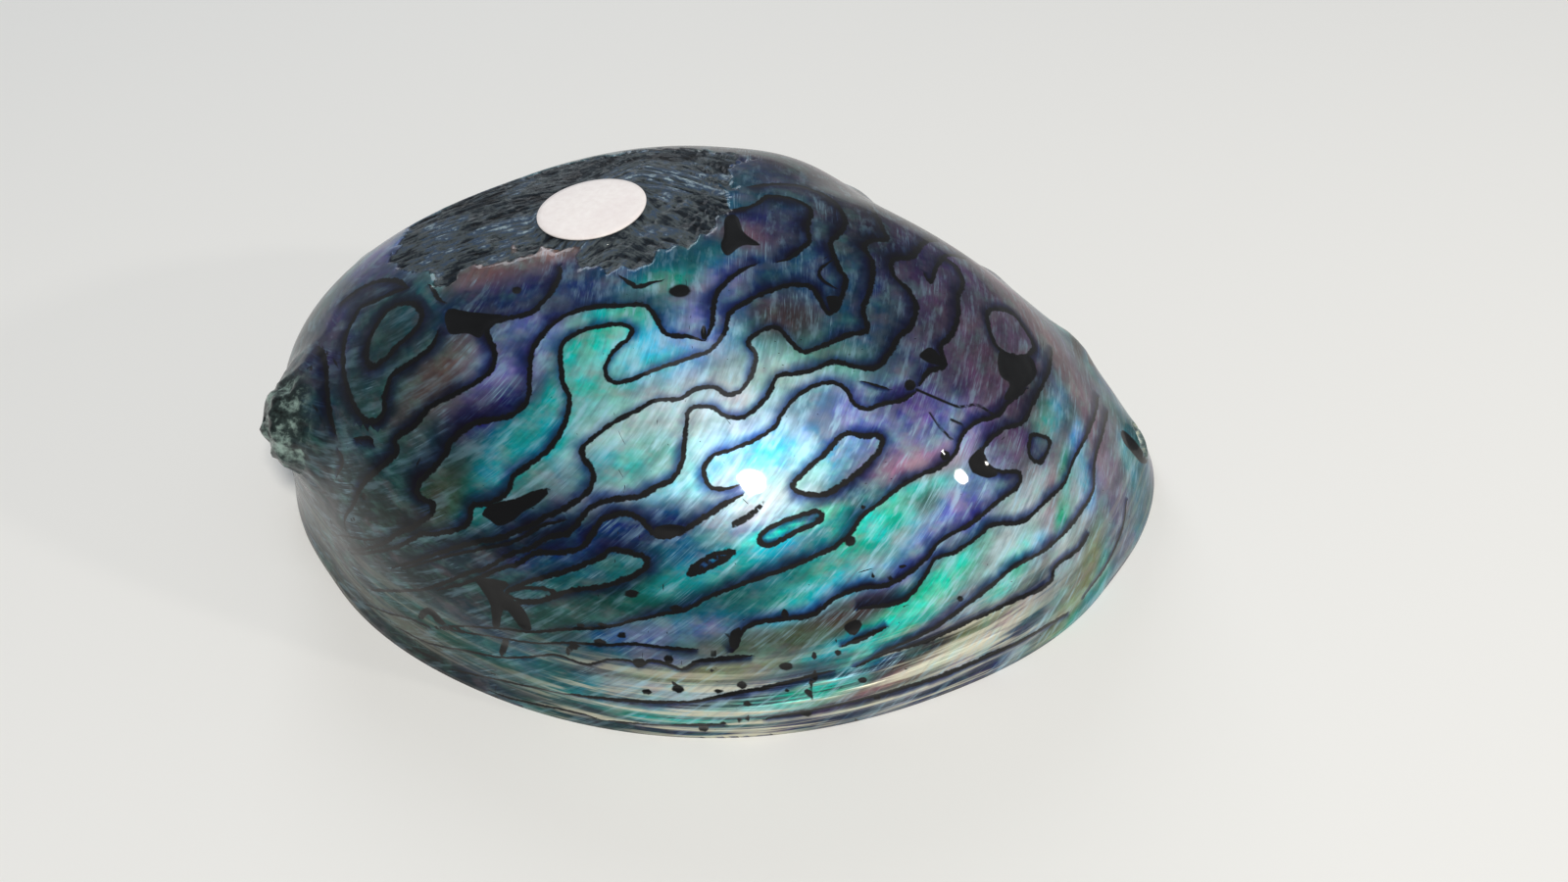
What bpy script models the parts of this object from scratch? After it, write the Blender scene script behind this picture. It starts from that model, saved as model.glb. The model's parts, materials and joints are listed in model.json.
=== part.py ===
"""Paua abalone shell, polished, lying mouth down, with a blank round paper label on its crest.

The shell is one open dome with a wall: a hemisphere of points is moved to the shell's outline and
profile, given its thickness inwards, trimmed flat where it rests, and pierced by its breathing
pores. A coiled spire is joined to its narrow end. +X runs from the spire towards the growing end,
+Y towards the pore row, and the mouth lies in the plane z = 0.
"""
import math

import bmesh
import bpy
import numpy as np
from mathutils import Vector

MM = 0.001

# Dome: the crest's place in plan, its height, and two rows of values read anticlockwise from +X,
# one every 30 degrees about the crest. REACH is the distance to the rim. FALL sets how the wall
# drops: small values stay high and fall steeply, large ones slope like a cone.
CREST_X = -0.9 * MM
CREST_Y = 11.1 * MM
HEIGHT = 56.0 * MM
REACH = [r * MM for r in (82, 58.5, 49, 45, 50.5, 63, 81, 75, 69, 67.5, 70, 77.5)]
FALL = [0.93, 0.63, 0.36, 0.28, 0.28, 0.32, 0.36, 0.27, 0.36, 0.49, 0.62, 0.76]
COLUMNS = 72
ROWS = 25

# Growing lip: a flared band on the front left, and ribs that follow the lip along the front.
FLARE = 3.0 * MM
FLARE_HEIGHT = 5.0 * MM
FLARE_CENTRE = math.radians(222)
FLARE_SPREAD = math.radians(62)
RIB_HEIGHTS = [7.0 * MM, 15.5 * MM]
RIB_WIDTH = 3.2 * MM
RIB_RISE = 0.9 * MM
RIB_CENTRE = math.radians(280)
RIB_SPREAD = math.radians(85)

# Rim: how far it would reach below the resting plane before it is trimmed flat there. It stays
# clear of the plane at the growing end and under the spire.
RIM_DEPTH = 0.9 * MM
RIM_LIFT = 2.2 * MM
LIFT_SPREAD = math.radians(34)

# Walls: thickness of the dome, of the spire end, and of the flat inner ledge on the pore side.
WALL = 2.3 * MM
SPIRE_WALL = 7.0 * MM
LEDGE = 9.0 * MM
LEDGE_HEIGHT = 9.0 * MM
LEDGE_CENTRE = math.radians(105)
LEDGE_SPREAD = math.radians(85)

# Pore row: direction about the crest in degrees, height, half length and half width of each pore.
# Only the pores nearest the growing end are open. Older ones are grown shut and stay as bumps.
OPEN_PORES = [
    (-7, 8.5 * MM, 3.6 * MM, 2.1 * MM),
    (5, 19.0 * MM, 2.7 * MM, 1.9 * MM),
    (18, 27.0 * MM, 2.5 * MM, 1.8 * MM),
    (33, 32.0 * MM, 2.3 * MM, 1.7 * MM),
    (51, 35.0 * MM, 2.1 * MM, 1.6 * MM),
]
SHUT_PORES = [
    (72, 36.5 * MM),
    (93, 37.0 * MM),
    (113, 36.5 * MM),
    (131, 35.5 * MM),
    (145, 34.5 * MM),
    (157, 33.0 * MM),
    (167, 31.5 * MM),
]
PORE_RISE = 1.1 * MM
PORE_SPREAD = 4.6 * MM
KEEL_RISE = 0.6 * MM
KEEL_SPREAD = 5.5 * MM
CUTTER_LENGTH = 24.0 * MM
CUTTER_SIDES = 12

# Spire: where its apex stands on the wall, the axis that it coils about, and its coil.
SPIRE = Vector((CREST_X - 69.0 * MM, CREST_Y - 25.0 * MM, 28.0 * MM))
SPIRE_AXIS = Vector((-0.85, -0.30, 0.43)).normalized()
SPIRE_RISE = 4.2 * MM
SPIRE_SPREAD = 15.0 * MM
COIL_TURNS = 1.6
COIL_START = 0.8 * MM
COIL_END = 4.2 * MM
COIL_TUBE = 0.62
COIL_DROP = 0.75
COIL_OUT = -0.4 * MM
COIL_POINTS = 28

# Label: plain round paper, its middle in plan, its radius, its thickness and the gap under it.
LABEL_X = CREST_X - 19.2 * MM
LABEL_Y = CREST_Y - 3.2 * MM
LABEL_RADIUS = 9.0 * MM
LABEL_THICKNESS = 0.25 * MM
LABEL_GAP = 0.35 * MM
LABEL_COLUMNS = 32
LABEL_ROWS = 4

TRIM_SIZE = 300.0 * MM


def around(values, angle):
    """A smooth closed curve through evenly spaced values, read at an angle."""
    values = np.asarray(values)
    count = len(values)
    place = (np.asarray(angle) / math.tau * count) % count
    first = np.floor(place).astype(int) % count
    part = place - np.floor(place)
    before, here, after, beyond = [values[(first + step) % count] for step in (-1, 0, 1, 2)]
    return 0.5 * (
        2 * here
        + (after - before) * part
        + (2 * before - 5 * here + 4 * after - beyond) * part**2
        + (3 * here - before - 3 * after + beyond) * part**3
    )


def window(angle, centre, spread):
    """1 at the centre direction, falling smoothly to 0 at the spread on either side."""
    away = np.abs((np.asarray(angle) - centre + math.pi) % math.tau - math.pi)
    return np.cos(np.clip(away / spread, 0, 1) * math.pi / 2) ** 2


def rim_depth(angle):
    """How far below the resting plane the untrimmed rim reaches in a direction."""
    lift = window(angle, 0.0, LIFT_SPREAD) + window(angle, math.pi, LIFT_SPREAD)
    return RIM_DEPTH - RIM_LIFT * lift


def dome_point(angle, share):
    """Outer surface: a direction about the crest, and the share of the way from crest to rim.

    Each meridian is the curve out = sin(turn), up = cos(turn) ** (2 * fall), walked at an even
    pace by its own length.
    """
    turn = math.pi / 2 * (1 - (1 - np.linspace(0, 1, 200)) ** 3)
    depth = rim_depth(angle)
    reach = around(REACH, angle)
    flare = FLARE * window(angle, FLARE_CENTRE, FLARE_SPREAD)
    up = (HEIGHT + depth) * np.cos(turn) ** (2 * around(FALL, angle)) - depth
    out = (reach - flare) * np.sin(turn) + flare * np.exp(-np.maximum(up, 0) / FLARE_HEIGHT)
    out[0] = 0
    length = np.concatenate([[0], np.cumsum(np.hypot(np.diff(out), np.diff(up)))])
    at = share * length[-1]
    away = np.interp(at, length, out)
    return Vector((
        CREST_X + away * math.cos(angle),
        CREST_Y + away * math.sin(angle),
        np.interp(at, length, up),
    ))


def dome_at_height(angle, height):
    """Outer surface in a direction, at a height above the resting plane."""
    share = math.sqrt(1 - (height / HEIGHT) ** (1 / float(around(FALL, angle))))
    away = float(around(REACH, angle)) * share
    return Vector((CREST_X + away * math.cos(angle), CREST_Y + away * math.sin(angle), height))


def dome_height(x, y):
    """Height of the smooth dome over a place in plan."""
    angle = math.atan2(y - CREST_Y, x - CREST_X)
    share = math.hypot(x - CREST_X, y - CREST_Y) / float(around(REACH, angle))
    return HEIGHT * (1 - share**2) ** float(around(FALL, angle))


def material(name, colour, roughness, metallic):
    made = bpy.data.materials.new(name)
    made.use_nodes = True
    shader = made.node_tree.nodes["Principled BSDF"]
    shader.inputs["Base Color"].default_value = (*colour, 1)
    shader.inputs["Roughness"].default_value = roughness
    shader.inputs["Metallic"].default_value = metallic
    made.diffuse_color = (*colour, 1)
    return made


def add_object(name, mesh, collection):
    made = bpy.data.objects.new(name, mesh)
    collection.objects.link(made)
    return made


def half_sphere(columns, rows):
    """Upper half of a sphere, and each point's direction and share of the way down from its pole."""
    grid = bmesh.new()
    bmesh.ops.create_uvsphere(grid, u_segments=columns, v_segments=2 * rows, radius=1)
    below = [point for point in grid.verts if point.co.z < -0.5 * math.sin(math.pi / 2 / rows)]
    bmesh.ops.delete(grid, geom=below, context="VERTS")
    places = {}
    for point in grid.verts:
        share = math.acos(min(1, max(-1, point.co.z))) / (math.pi / 2)
        places[point] = (math.atan2(point.co.y, point.co.x), share)
    return grid, places


def pore_row():
    """Points along the row of pores, from the growing end to the spire."""
    places = [(angle, height) for angle, height, *_ in OPEN_PORES] + SHUT_PORES
    return [dome_at_height(math.radians(angle), height) for angle, height in places]


def distance_to_row(point, row):
    """Shortest distance from a point to the straight stretches between the pores."""
    best = math.inf
    for start, end in zip(row, row[1:]):
        along = max(0, min(1, (point - start).dot(end - start) / (end - start).length_squared))
        best = min(best, (point - start.lerp(end, along)).length)
    return best


def relief(point, angle, row):
    """Height of the ridges and bumps over the smooth dome at a point."""
    ribs = sum(math.exp(-((point.z - height) / RIB_WIDTH) ** 2) for height in RIB_HEIGHTS)
    rise = RIB_RISE * float(window(angle, RIB_CENTRE, RIB_SPREAD)) * ribs
    rise += KEEL_RISE * math.exp(-(distance_to_row(point, row) / KEEL_SPREAD) ** 2)
    rise += PORE_RISE * sum(math.exp(-((point - pore).length / PORE_SPREAD) ** 2) for pore in row)
    return rise


def spire_bump(point):
    """How far the wall swells out where the spire stands on it."""
    share = (point - SPIRE).length / SPIRE_SPREAD
    return SPIRE_RISE * (1 - share**2) ** 2 if share < 1 else 0


def wall_at(point, angle):
    """Thickness of the wall at a point of the outer surface."""
    ledge = float(window(angle, LEDGE_CENTRE, LEDGE_SPREAD)) * math.exp(-(point.z / LEDGE_HEIGHT) ** 2)
    spire = math.exp(-((point - SPIRE).length / SPIRE_SPREAD) ** 2)
    return WALL + (LEDGE - WALL) * ledge + (SPIRE_WALL - WALL) * spire * (1 - ledge)


def make_dome(collection):
    """The shell's wall: the outer surface with its relief, thickened inwards."""
    grid, places = half_sphere(COLUMNS, ROWS)
    for point, (angle, share) in places.items():
        point.co = dome_point(angle, share)
    grid.normal_update()
    row = pore_row()
    moves = {}
    for point, (angle, _) in places.items():
        rise = relief(point.co, angle, row) * min(1, max(0, point.co.z / RIB_WIDTH))
        moves[point] = point.normal * rise + SPIRE_AXIS * spire_bump(point.co)
    for point, move in moves.items():
        point.co += move
    mesh = bpy.data.meshes.new("shell")
    walls = [wall_at(point.co, places[point][0]) for point in grid.verts]
    grid.to_mesh(mesh)
    grid.free()
    dome = add_object("shell", mesh, collection)
    group = dome.vertex_groups.new(name="wall")
    for index, wall in enumerate(walls):
        group.add([index], wall / LEDGE, "REPLACE")
    solid = dome.modifiers.new("wall", "SOLIDIFY")
    solid.thickness = LEDGE
    solid.offset = -1
    solid.vertex_group = "wall"
    solid.thickness_vertex_group = 0
    return dome


def make_coil(collection):
    """The spire's whorls: a tapering tube coiled clockwise, seen from its apex."""
    side = SPIRE_AXIS.cross(Vector((0, 0, 1))).normalized()
    rise = side.cross(SPIRE_AXIS)
    curve = bpy.data.curves.new("coil", "CURVE")
    curve.dimensions = "3D"
    curve.bevel_depth = 1.0
    curve.bevel_resolution = 3
    curve.use_fill_caps = True
    spline = curve.splines.new("POLY")
    spline.points.add(COIL_POINTS - 1)
    for index, knot in enumerate(spline.points):
        share = index / (COIL_POINTS - 1)
        radius = COIL_START * (COIL_END / COIL_START) ** share
        turn = math.tau * COIL_TURNS * share
        centre = SPIRE + SPIRE_AXIS * (SPIRE_RISE + COIL_OUT - COIL_DROP * radius)
        centre += radius * (side * math.cos(turn) + rise * math.sin(turn))
        knot.co = (*centre, 1)
        knot.radius = COIL_TUBE * radius + COIL_START
    tube = bpy.data.objects.new("coil_curve", curve)
    collection.objects.link(tube)
    depsgraph = bpy.context.evaluated_depsgraph_get()
    mesh = bpy.data.meshes.new_from_object(tube.evaluated_get(depsgraph))
    clean = bmesh.new()
    clean.from_mesh(mesh)
    bmesh.ops.remove_doubles(clean, verts=clean.verts, dist=0.00001)
    clean.to_mesh(mesh)
    clean.free()
    bpy.data.objects.remove(tube)
    return add_object("spire_coil", mesh, collection)


def make_pore_cutter(name, angle, height, half_length, half_width, row, collection):
    """An oval rod through the wall, its long side along the row."""
    angle = math.radians(angle)
    centre = dome_at_height(angle, height)
    step = math.radians(1)
    outwards = (dome_at_height(angle + step, height) - dome_at_height(angle - step, height)).cross(
        dome_at_height(angle, height * 1.02) - dome_at_height(angle, height * 0.98)
    ).normalized()
    nearest = sorted(row, key=lambda pore: (pore - centre).length)
    along = nearest[1] - nearest[0]
    along = (along - along.dot(outwards) * outwards).normalized()
    across = outwards.cross(along)
    rod = bmesh.new()
    bmesh.ops.create_cone(
        rod, cap_ends=True, segments=CUTTER_SIDES, radius1=1, radius2=1, depth=CUTTER_LENGTH
    )
    for point in rod.verts:
        x, y, z = point.co
        point.co = centre + along * x * half_length + across * y * half_width + outwards * z
    mesh = bpy.data.meshes.new(name)
    rod.to_mesh(mesh)
    rod.free()
    return add_object(name, mesh, collection)


def make_trim(collection):
    """A block whose top is the resting plane."""
    block = bmesh.new()
    bmesh.ops.create_cube(block, size=TRIM_SIZE)
    bmesh.ops.translate(block, verts=block.verts, vec=(0, 0, -TRIM_SIZE / 2))
    mesh = bpy.data.meshes.new("resting_plane")
    block.to_mesh(mesh)
    block.free()
    return add_object("resting_plane", mesh, collection)


def combine(target, other, operation, coiled=False):
    """Join or cut with another solid. A coiled one presses into its own turns."""
    step = target.modifiers.new(other.name, "BOOLEAN")
    step.operation = operation
    step.solver = "EXACT"
    step.use_self = coiled
    step.object = other


def make_label(collection):
    """A disc of paper that follows the crest just above it."""
    grid, places = half_sphere(LABEL_COLUMNS, LABEL_ROWS)
    for point, (angle, share) in places.items():
        x = LABEL_X + LABEL_RADIUS * share * math.cos(angle)
        y = LABEL_Y + LABEL_RADIUS * share * math.sin(angle)
        point.co = (x, y, dome_height(x, y) + LABEL_GAP)
    mesh = bpy.data.meshes.new("label")
    grid.to_mesh(mesh)
    grid.free()
    label = add_object("label", mesh, collection)
    solid = label.modifiers.new("paper", "SOLIDIFY")
    solid.thickness = LABEL_THICKNESS
    solid.offset = 1
    return label


def main():
    for old in list(bpy.data.objects):
        bpy.data.objects.remove(old)
    parts = bpy.data.collections.new("paua_abalone_shell")
    cutters = bpy.data.collections.new("cutters")
    bpy.context.scene.collection.children.link(parts)
    bpy.context.scene.collection.children.link(cutters)

    shell = make_dome(parts)
    shell.data.materials.append(material("paua_nacre", (0.16, 0.27, 0.33), 0.28, 0.55))
    combine(shell, make_coil(cutters), "UNION", coiled=True)
    combine(shell, make_trim(cutters), "DIFFERENCE")
    row = pore_row()
    for number, (angle, height, half_length, half_width) in enumerate(OPEN_PORES, start=1):
        name = f"pore_{number}"
        combine(shell, make_pore_cutter(name, angle, height, half_length, half_width, row, cutters),
                "DIFFERENCE")

    label = make_label(parts)
    label.data.materials.append(material("label_paper", (0.86, 0.82, 0.84), 0.55, 0.0))

    for part in parts.objects:
        part.data.shade_smooth()
        part.data.set_sharp_from_angle(angle=math.radians(40))
    for cutter in cutters.objects:
        cutter.hide_render = True
        cutter.display_type = "WIRE"


main()
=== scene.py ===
# %% [markdown]
# # A polished paua shell
#
# The real thing is the shell of a large sea snail. It grew as one piece, so its dome, coiled spire,
# pore row and inner ledge are one closed surface here too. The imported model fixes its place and
# size. This lesson gives it a fine surface, its grown pattern and its deep gloss.

import json
import math

import bpy
import numpy as np
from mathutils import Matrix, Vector
from mathutils.bvhtree import BVHTree

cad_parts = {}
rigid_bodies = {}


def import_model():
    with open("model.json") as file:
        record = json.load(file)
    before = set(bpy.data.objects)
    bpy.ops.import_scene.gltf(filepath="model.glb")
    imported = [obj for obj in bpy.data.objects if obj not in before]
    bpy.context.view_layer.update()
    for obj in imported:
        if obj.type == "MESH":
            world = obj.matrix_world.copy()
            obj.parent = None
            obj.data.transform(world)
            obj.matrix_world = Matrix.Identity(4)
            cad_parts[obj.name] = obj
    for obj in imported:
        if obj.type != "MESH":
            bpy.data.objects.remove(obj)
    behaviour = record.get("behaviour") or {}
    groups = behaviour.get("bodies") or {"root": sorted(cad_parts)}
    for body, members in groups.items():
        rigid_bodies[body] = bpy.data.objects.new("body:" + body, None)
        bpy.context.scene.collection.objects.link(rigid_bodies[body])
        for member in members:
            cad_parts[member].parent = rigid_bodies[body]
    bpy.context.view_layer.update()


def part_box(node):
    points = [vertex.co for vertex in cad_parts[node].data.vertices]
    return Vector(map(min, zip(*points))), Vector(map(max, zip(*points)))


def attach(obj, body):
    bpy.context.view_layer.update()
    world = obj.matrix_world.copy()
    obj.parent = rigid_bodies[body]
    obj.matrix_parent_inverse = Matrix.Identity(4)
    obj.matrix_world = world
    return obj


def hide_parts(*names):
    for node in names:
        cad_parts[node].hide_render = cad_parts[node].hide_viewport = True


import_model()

# %% [markdown]
# ## Where the picture was taken from
#
# The shell was photographed from close by, looking down at it. A phone camera this near makes the
# front swell, so the lens matters as much as the direction. The values come from fitting the
# outline of the dome. Rays through pixels of the 1600 by 900 picture place the pattern later on.

# %% Camera
MM = 0.001
PHOTO_SIZE = np.array([1600, 900])
FOCAL_PIXELS = 1220.0
SENSOR = 36.0
CAMERA_PITCH = math.radians(43)
CAMERA_DISTANCE = 235.0
CAMERA_TARGET = np.array([11.3, 11.2, 0.0])

view_forward = np.array([0, math.cos(CAMERA_PITCH), -math.sin(CAMERA_PITCH)])
view_up = np.array([0, math.sin(CAMERA_PITCH), math.cos(CAMERA_PITCH)])
view_right = np.array([1.0, 0, 0])
camera_place = CAMERA_TARGET - CAMERA_DISTANCE * view_forward

camera = bpy.data.objects.new("camera", bpy.data.cameras.new("camera"))
bpy.context.scene.collection.objects.link(camera)
camera.data.lens = FOCAL_PIXELS / PHOTO_SIZE[0] * SENSOR
camera.data.sensor_width = SENSOR
camera.data.clip_start = 0.01
camera.location = camera_place * MM
camera.rotation_euler = (math.pi / 2 - CAMERA_PITCH, 0, 0)
bpy.context.scene.camera = camera
print("camera at", np.round(camera_place, 1), "mm, lens", round(camera.data.lens, 2), "mm")


# %% Rays through pixels
def ray_directions(pixels):
    """Unit vectors from the camera through pixels: forward, plus the pixel's offset over the focal length."""
    offset = (np.asarray(pixels, float) - PHOTO_SIZE / 2) / FOCAL_PIXELS
    rays = view_forward + offset[:, :1] * view_right - offset[:, 1:] * view_up
    return rays / np.linalg.norm(rays, axis=1, keepdims=True)


# %% [markdown]
# ## The form of the dome
#
# Seen from above the shell is an uneven oval, and each side drops in its own way: steep at the
# pore side and the spire, long and low at the growing end. A polar surface suits it. Every
# direction about the crest has a reach and a rate of fall, and both are smooth closed curves
# through twelve values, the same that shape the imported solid.

# %% Driving dimensions in millimetres and degrees
CREST = np.array([-0.9, 11.1])
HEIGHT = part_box("shell")[1].z / MM
REACH = [82, 58.5, 49, 45, 50.5, 63, 81, 75, 69, 67.5, 70, 77.5]
FALL = [0.93, 0.63, 0.36, 0.28, 0.28, 0.32, 0.36, 0.27, 0.36, 0.49, 0.62, 0.76]
FLARE, FLARE_HEIGHT = 3.0, 5.0
FLARE_CENTRE, FLARE_SPREAD = 222, 62
RIM_DEPTH, RIM_LIFT, LIFT_SPREAD = 0.9, 2.2, 34
COLUMNS, ROWS, INNER_ROWS = 560, 146, 26
MERIDIAN_SAMPLES = 400


def around(values, angle):
    """A closed Catmull-Rom curve through evenly spaced values, read at angles in radians."""
    values = np.asarray(values, float)
    place = (np.asarray(angle) / math.tau * len(values)) % len(values)
    first = np.floor(place).astype(int) % len(values)
    part = place - np.floor(place)
    before, here, after, beyond = [values[(first + step) % len(values)] for step in (-1, 0, 1, 2)]
    return 0.5 * (
        2 * here
        + (after - before) * part
        + (2 * before - 5 * here + 4 * after - beyond) * part**2
        + (3 * here - before - 3 * after + beyond) * part**3
    )


def window(angle, centre, spread):
    """Squared cosine: 1 at the centre direction, 0 at the spread on either side, both in degrees."""
    away = np.abs((np.degrees(angle) - centre + 180) % 360 - 180)
    return np.cos(np.clip(away / spread, 0, 1) * math.pi / 2) ** 2


def ease(value, low, high):
    """Smooth step: 0 below low, 1 above high, and 3t^2 - 2t^3 between."""
    share = np.clip((value - low) / (high - low), 0, 1)
    return share * share * (3 - 2 * share)


def dome(columns, rows):
    """Meridians of the dome as a columns by rows grid, without its pole.

    Along a meridian, out = reach * sin(turn) and up = height * cos(turn) ** (2 * fall). The curve
    ends where it meets the resting plane, and the rows lie on it at equal steps of its length.
    """
    angle = np.arange(columns) * math.tau / columns
    turn = math.pi / 2 * (1 - (1 - np.linspace(0, 1, MERIDIAN_SAMPLES)) ** 3)
    lift = window(angle, 0, LIFT_SPREAD) + window(angle, 180, LIFT_SPREAD)
    depth = (RIM_DEPTH - RIM_LIFT * lift)[:, None]
    flare = (FLARE * window(angle, FLARE_CENTRE, FLARE_SPREAD))[:, None]
    up = (HEIGHT + depth) * np.cos(turn) ** (2 * around(FALL, angle)[:, None]) - depth
    out = (around(REACH, angle)[:, None] - flare) * np.sin(turn)
    out += flare * np.exp(-np.maximum(up, 0) / FLARE_HEIGHT)
    out[:, 0] = 0
    steps = np.hypot(np.diff(out), np.diff(up))
    length = np.concatenate([np.zeros((columns, 1)), np.cumsum(steps, axis=1)], axis=1)
    last = np.minimum((up >= 0).sum(axis=1), MERIDIAN_SAMPLES - 1)[:, None]
    here, there = [np.take_along_axis(up, at, 1) for at in (last - 1, last)]
    part = np.where(there < 0, here / np.maximum(here - there, 1e-9), 1)
    end = np.take_along_axis(length, last - 1, 1) + part * np.take_along_axis(steps, last - 1, 1)
    at = np.linspace(0, 1, rows + 1)[1:] * end
    low = (length[:, None, :] <= at[:, :, None]).sum(axis=2) - 1
    low = np.minimum(low, MERIDIAN_SAMPLES - 2)
    share = (at - np.take_along_axis(length, low, 1)) / np.take_along_axis(steps, low, 1)
    away, high = [
        np.take_along_axis(line, low, 1) * (1 - share) + np.take_along_axis(line, low + 1, 1) * share
        for line in (out, up)
    ]
    x = CREST[0] + away * np.cos(angle)[:, None]
    y = CREST[1] + away * np.sin(angle)[:, None]
    return np.stack([x, y, np.maximum(high, 0)], axis=2), end - at


def grid_normals(grid):
    """Outward unit normals: the step down the grid crossed with the step round it."""
    round_step = np.roll(grid, -1, axis=0) - np.roll(grid, 1, axis=0)
    normal = np.cross(np.gradient(grid, axis=1), round_step)
    return normal / np.maximum(np.linalg.norm(normal, axis=2, keepdims=True), 1e-12)


def dome_height(x, y):
    """Height of the smooth dome over places in plan."""
    angle = np.arctan2(y - CREST[1], x - CREST[0])
    share = np.hypot(x - CREST[0], y - CREST[1]) / around(REACH, angle)
    return HEIGHT * np.maximum(1 - share**2, 0) ** around(FALL, angle)


def dome_at_height(degrees, height):
    """Point of the dome in a direction, at a height."""
    angle = math.radians(degrees)
    out = float(around(REACH, angle)) * math.sqrt(1 - (height / HEIGHT) ** (1 / float(around(FALL, angle))))
    return np.array([CREST[0] + out * math.cos(angle), CREST[1] + out * math.sin(angle), height])


smooth_outside, to_rim = dome(COLUMNS, ROWS)
outside_normal = grid_normals(smooth_outside)
print("dome grid", smooth_outside.shape[:2], "and its height", round(float(smooth_outside[..., 2].max()), 2))

# %% [markdown]
# ## Ridges, pores and spire
#
# A growing shell leaves two low ribs along its lip, a keel with a bump at every pore, and at its
# oldest end a small coiled spire. Each is a rise over the dome that depends only on where the point
# lies, so all of them are worked out for the whole grid at once. The spire's turns are the upper
# side of a tube that coils outwards and sinks as it widens.

# %% Values of the ridges, pores and spire
RIB_HEIGHTS = [7.0, 15.5]
RIB_WIDTH, RIB_RISE, RIB_CENTRE, RIB_SPREAD = 3.2, 0.9, 280, 85
OPEN_PORES = [
    (-7, 8.5, 3.6, 2.1),
    (5, 19.0, 2.7, 1.9),
    (18, 27.0, 2.5, 1.8),
    (33, 32.0, 2.3, 1.7),
    (51, 35.0, 2.1, 1.6),
]
SHUT_PORES = [(72, 36.5), (93, 37), (113, 36.5), (131, 35.5), (145, 34.5), (157, 33), (167, 31.5)]
PORE_RISE, PORE_SPREAD, PORE_DIMPLE, DIMPLE_SPREAD = 1.1, 4.6, 1.3, 1.7
KEEL_RISE, KEEL_SPREAD = 0.6, 5.5
RIPPLE_RISE, RIPPLE_LENGTH, RIPPLE_SWAY, RIPPLE_FADE = 0.22, 3.1, 1.2, (11.0, 20.0)
SPIRE = np.array([CREST[0] - 69, CREST[1] - 25, 28.0])
SPIRE_AXIS = np.array([-0.85, -0.30, 0.43]) / np.linalg.norm([-0.85, -0.30, 0.43])
SPIRE_RISE, SPIRE_SPREAD = 4.2, 15.0
COIL_TURNS, COIL_START, COIL_END = 1.6, 0.8, 4.2
COIL_TUBE, COIL_DROP, COIL_OUT, COIL_FADE = 0.62, 0.75, -0.4, (0.85, 1.25)

pore_row = np.array([dome_at_height(*pore[:2]) for pore in OPEN_PORES + SHUT_PORES])


def waves(points, wavelength, seed, count=18):
    """Smooth noise about zero: the mean of sine waves in random directions near one wavelength."""
    random = np.random.default_rng(seed)
    direction = random.normal(size=(count, 3))
    direction /= np.linalg.norm(direction, axis=1, keepdims=True)
    rate = math.tau / (wavelength * random.uniform(0.7, 1.5, count))
    phase = random.uniform(0, math.tau, count)
    return np.sin(points @ (direction * rate[:, None]).T + phase).sum(axis=-1) * math.sqrt(2 / count)


def polyline_distance(points, line):
    """Shortest distance from each point to the straight stretches between the points of a line."""
    best = np.full(points.shape[:-1], np.inf)
    for start, end in zip(line, line[1:]):
        step = end - start
        along = np.clip((points - start) @ step / (step @ step), 0, 1)
        best = np.minimum(best, np.linalg.norm(points - start - along[..., None] * step, axis=-1))
    return best


def ridge_relief(points, angle):
    """Ribs along the lip, keel and pore bumps, each a bell curve of its distance, and fine ripples."""
    ribs = sum(np.exp(-(((points[..., 2] - height) / RIB_WIDTH) ** 2)) for height in RIB_HEIGHTS)
    rise = RIB_RISE * window(angle, RIB_CENTRE, RIB_SPREAD)[:, None] * ribs
    rise = rise + KEEL_RISE * np.exp(-((polyline_distance(points, pore_row) / KEEL_SPREAD) ** 2))
    for number, pore in enumerate(pore_row):
        away = np.linalg.norm(points - pore, axis=-1)
        rise = rise + PORE_RISE * np.exp(-((away / PORE_SPREAD) ** 2))
        if number >= len(OPEN_PORES):
            rise = rise - PORE_DIMPLE * np.exp(-((away / DIMPLE_SPREAD) ** 2))
    ripple = np.sin(math.tau * points[..., 2] / RIPPLE_LENGTH + RIPPLE_SWAY * np.sin(3 * angle)[:, None])
    fade = window(angle, RIB_CENTRE, RIB_SPREAD)[:, None] * (1 - ease(points[..., 2], *RIPPLE_FADE))
    return (rise + RIPPLE_RISE * ripple * fade) * np.clip(points[..., 2] / RIB_WIDTH, 0, 1)


def spire_rise(points):
    """How far the spire stands over the dome, along its own axis.

    A smooth bump, and over it the coil: at each turning angle its radius grows by a fixed factor,
    and its top is the tube's centre plus the square root of tube^2 - (distance - radius)^2.
    """
    away = points - SPIRE
    side = np.cross(SPIRE_AXIS, [0, 0, 1])
    side /= np.linalg.norm(side)
    rise = np.cross(side, SPIRE_AXIS)
    axial = away @ SPIRE_AXIS
    across, upright = away @ side, away @ rise
    distance = np.hypot(across, upright)
    turn = (np.arctan2(upright, across) % math.tau) / math.tau
    bump = SPIRE_RISE * np.clip(1 - (np.linalg.norm(away, axis=-1) / SPIRE_SPREAD) ** 2, 0, 1) ** 2
    top = axial + bump
    for whorl in (0, 1, 2):
        share = (turn + whorl) / COIL_TURNS
        radius = COIL_START * (COIL_END / COIL_START) ** share
        tube = COIL_TUBE * radius + COIL_START
        centre = SPIRE_RISE + COIL_OUT - COIL_DROP * radius
        dome_top = np.sqrt(np.clip(tube**2 - (distance - radius) ** 2, 0, None))
        fade = 1 - ease(share, *COIL_FADE)
        on_whorl = (np.abs(distance - radius) < tube) & (centre + dome_top > top)
        top = np.where(on_whorl, top + (centre + dome_top - top) * fade, top)
    return top - axial


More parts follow.
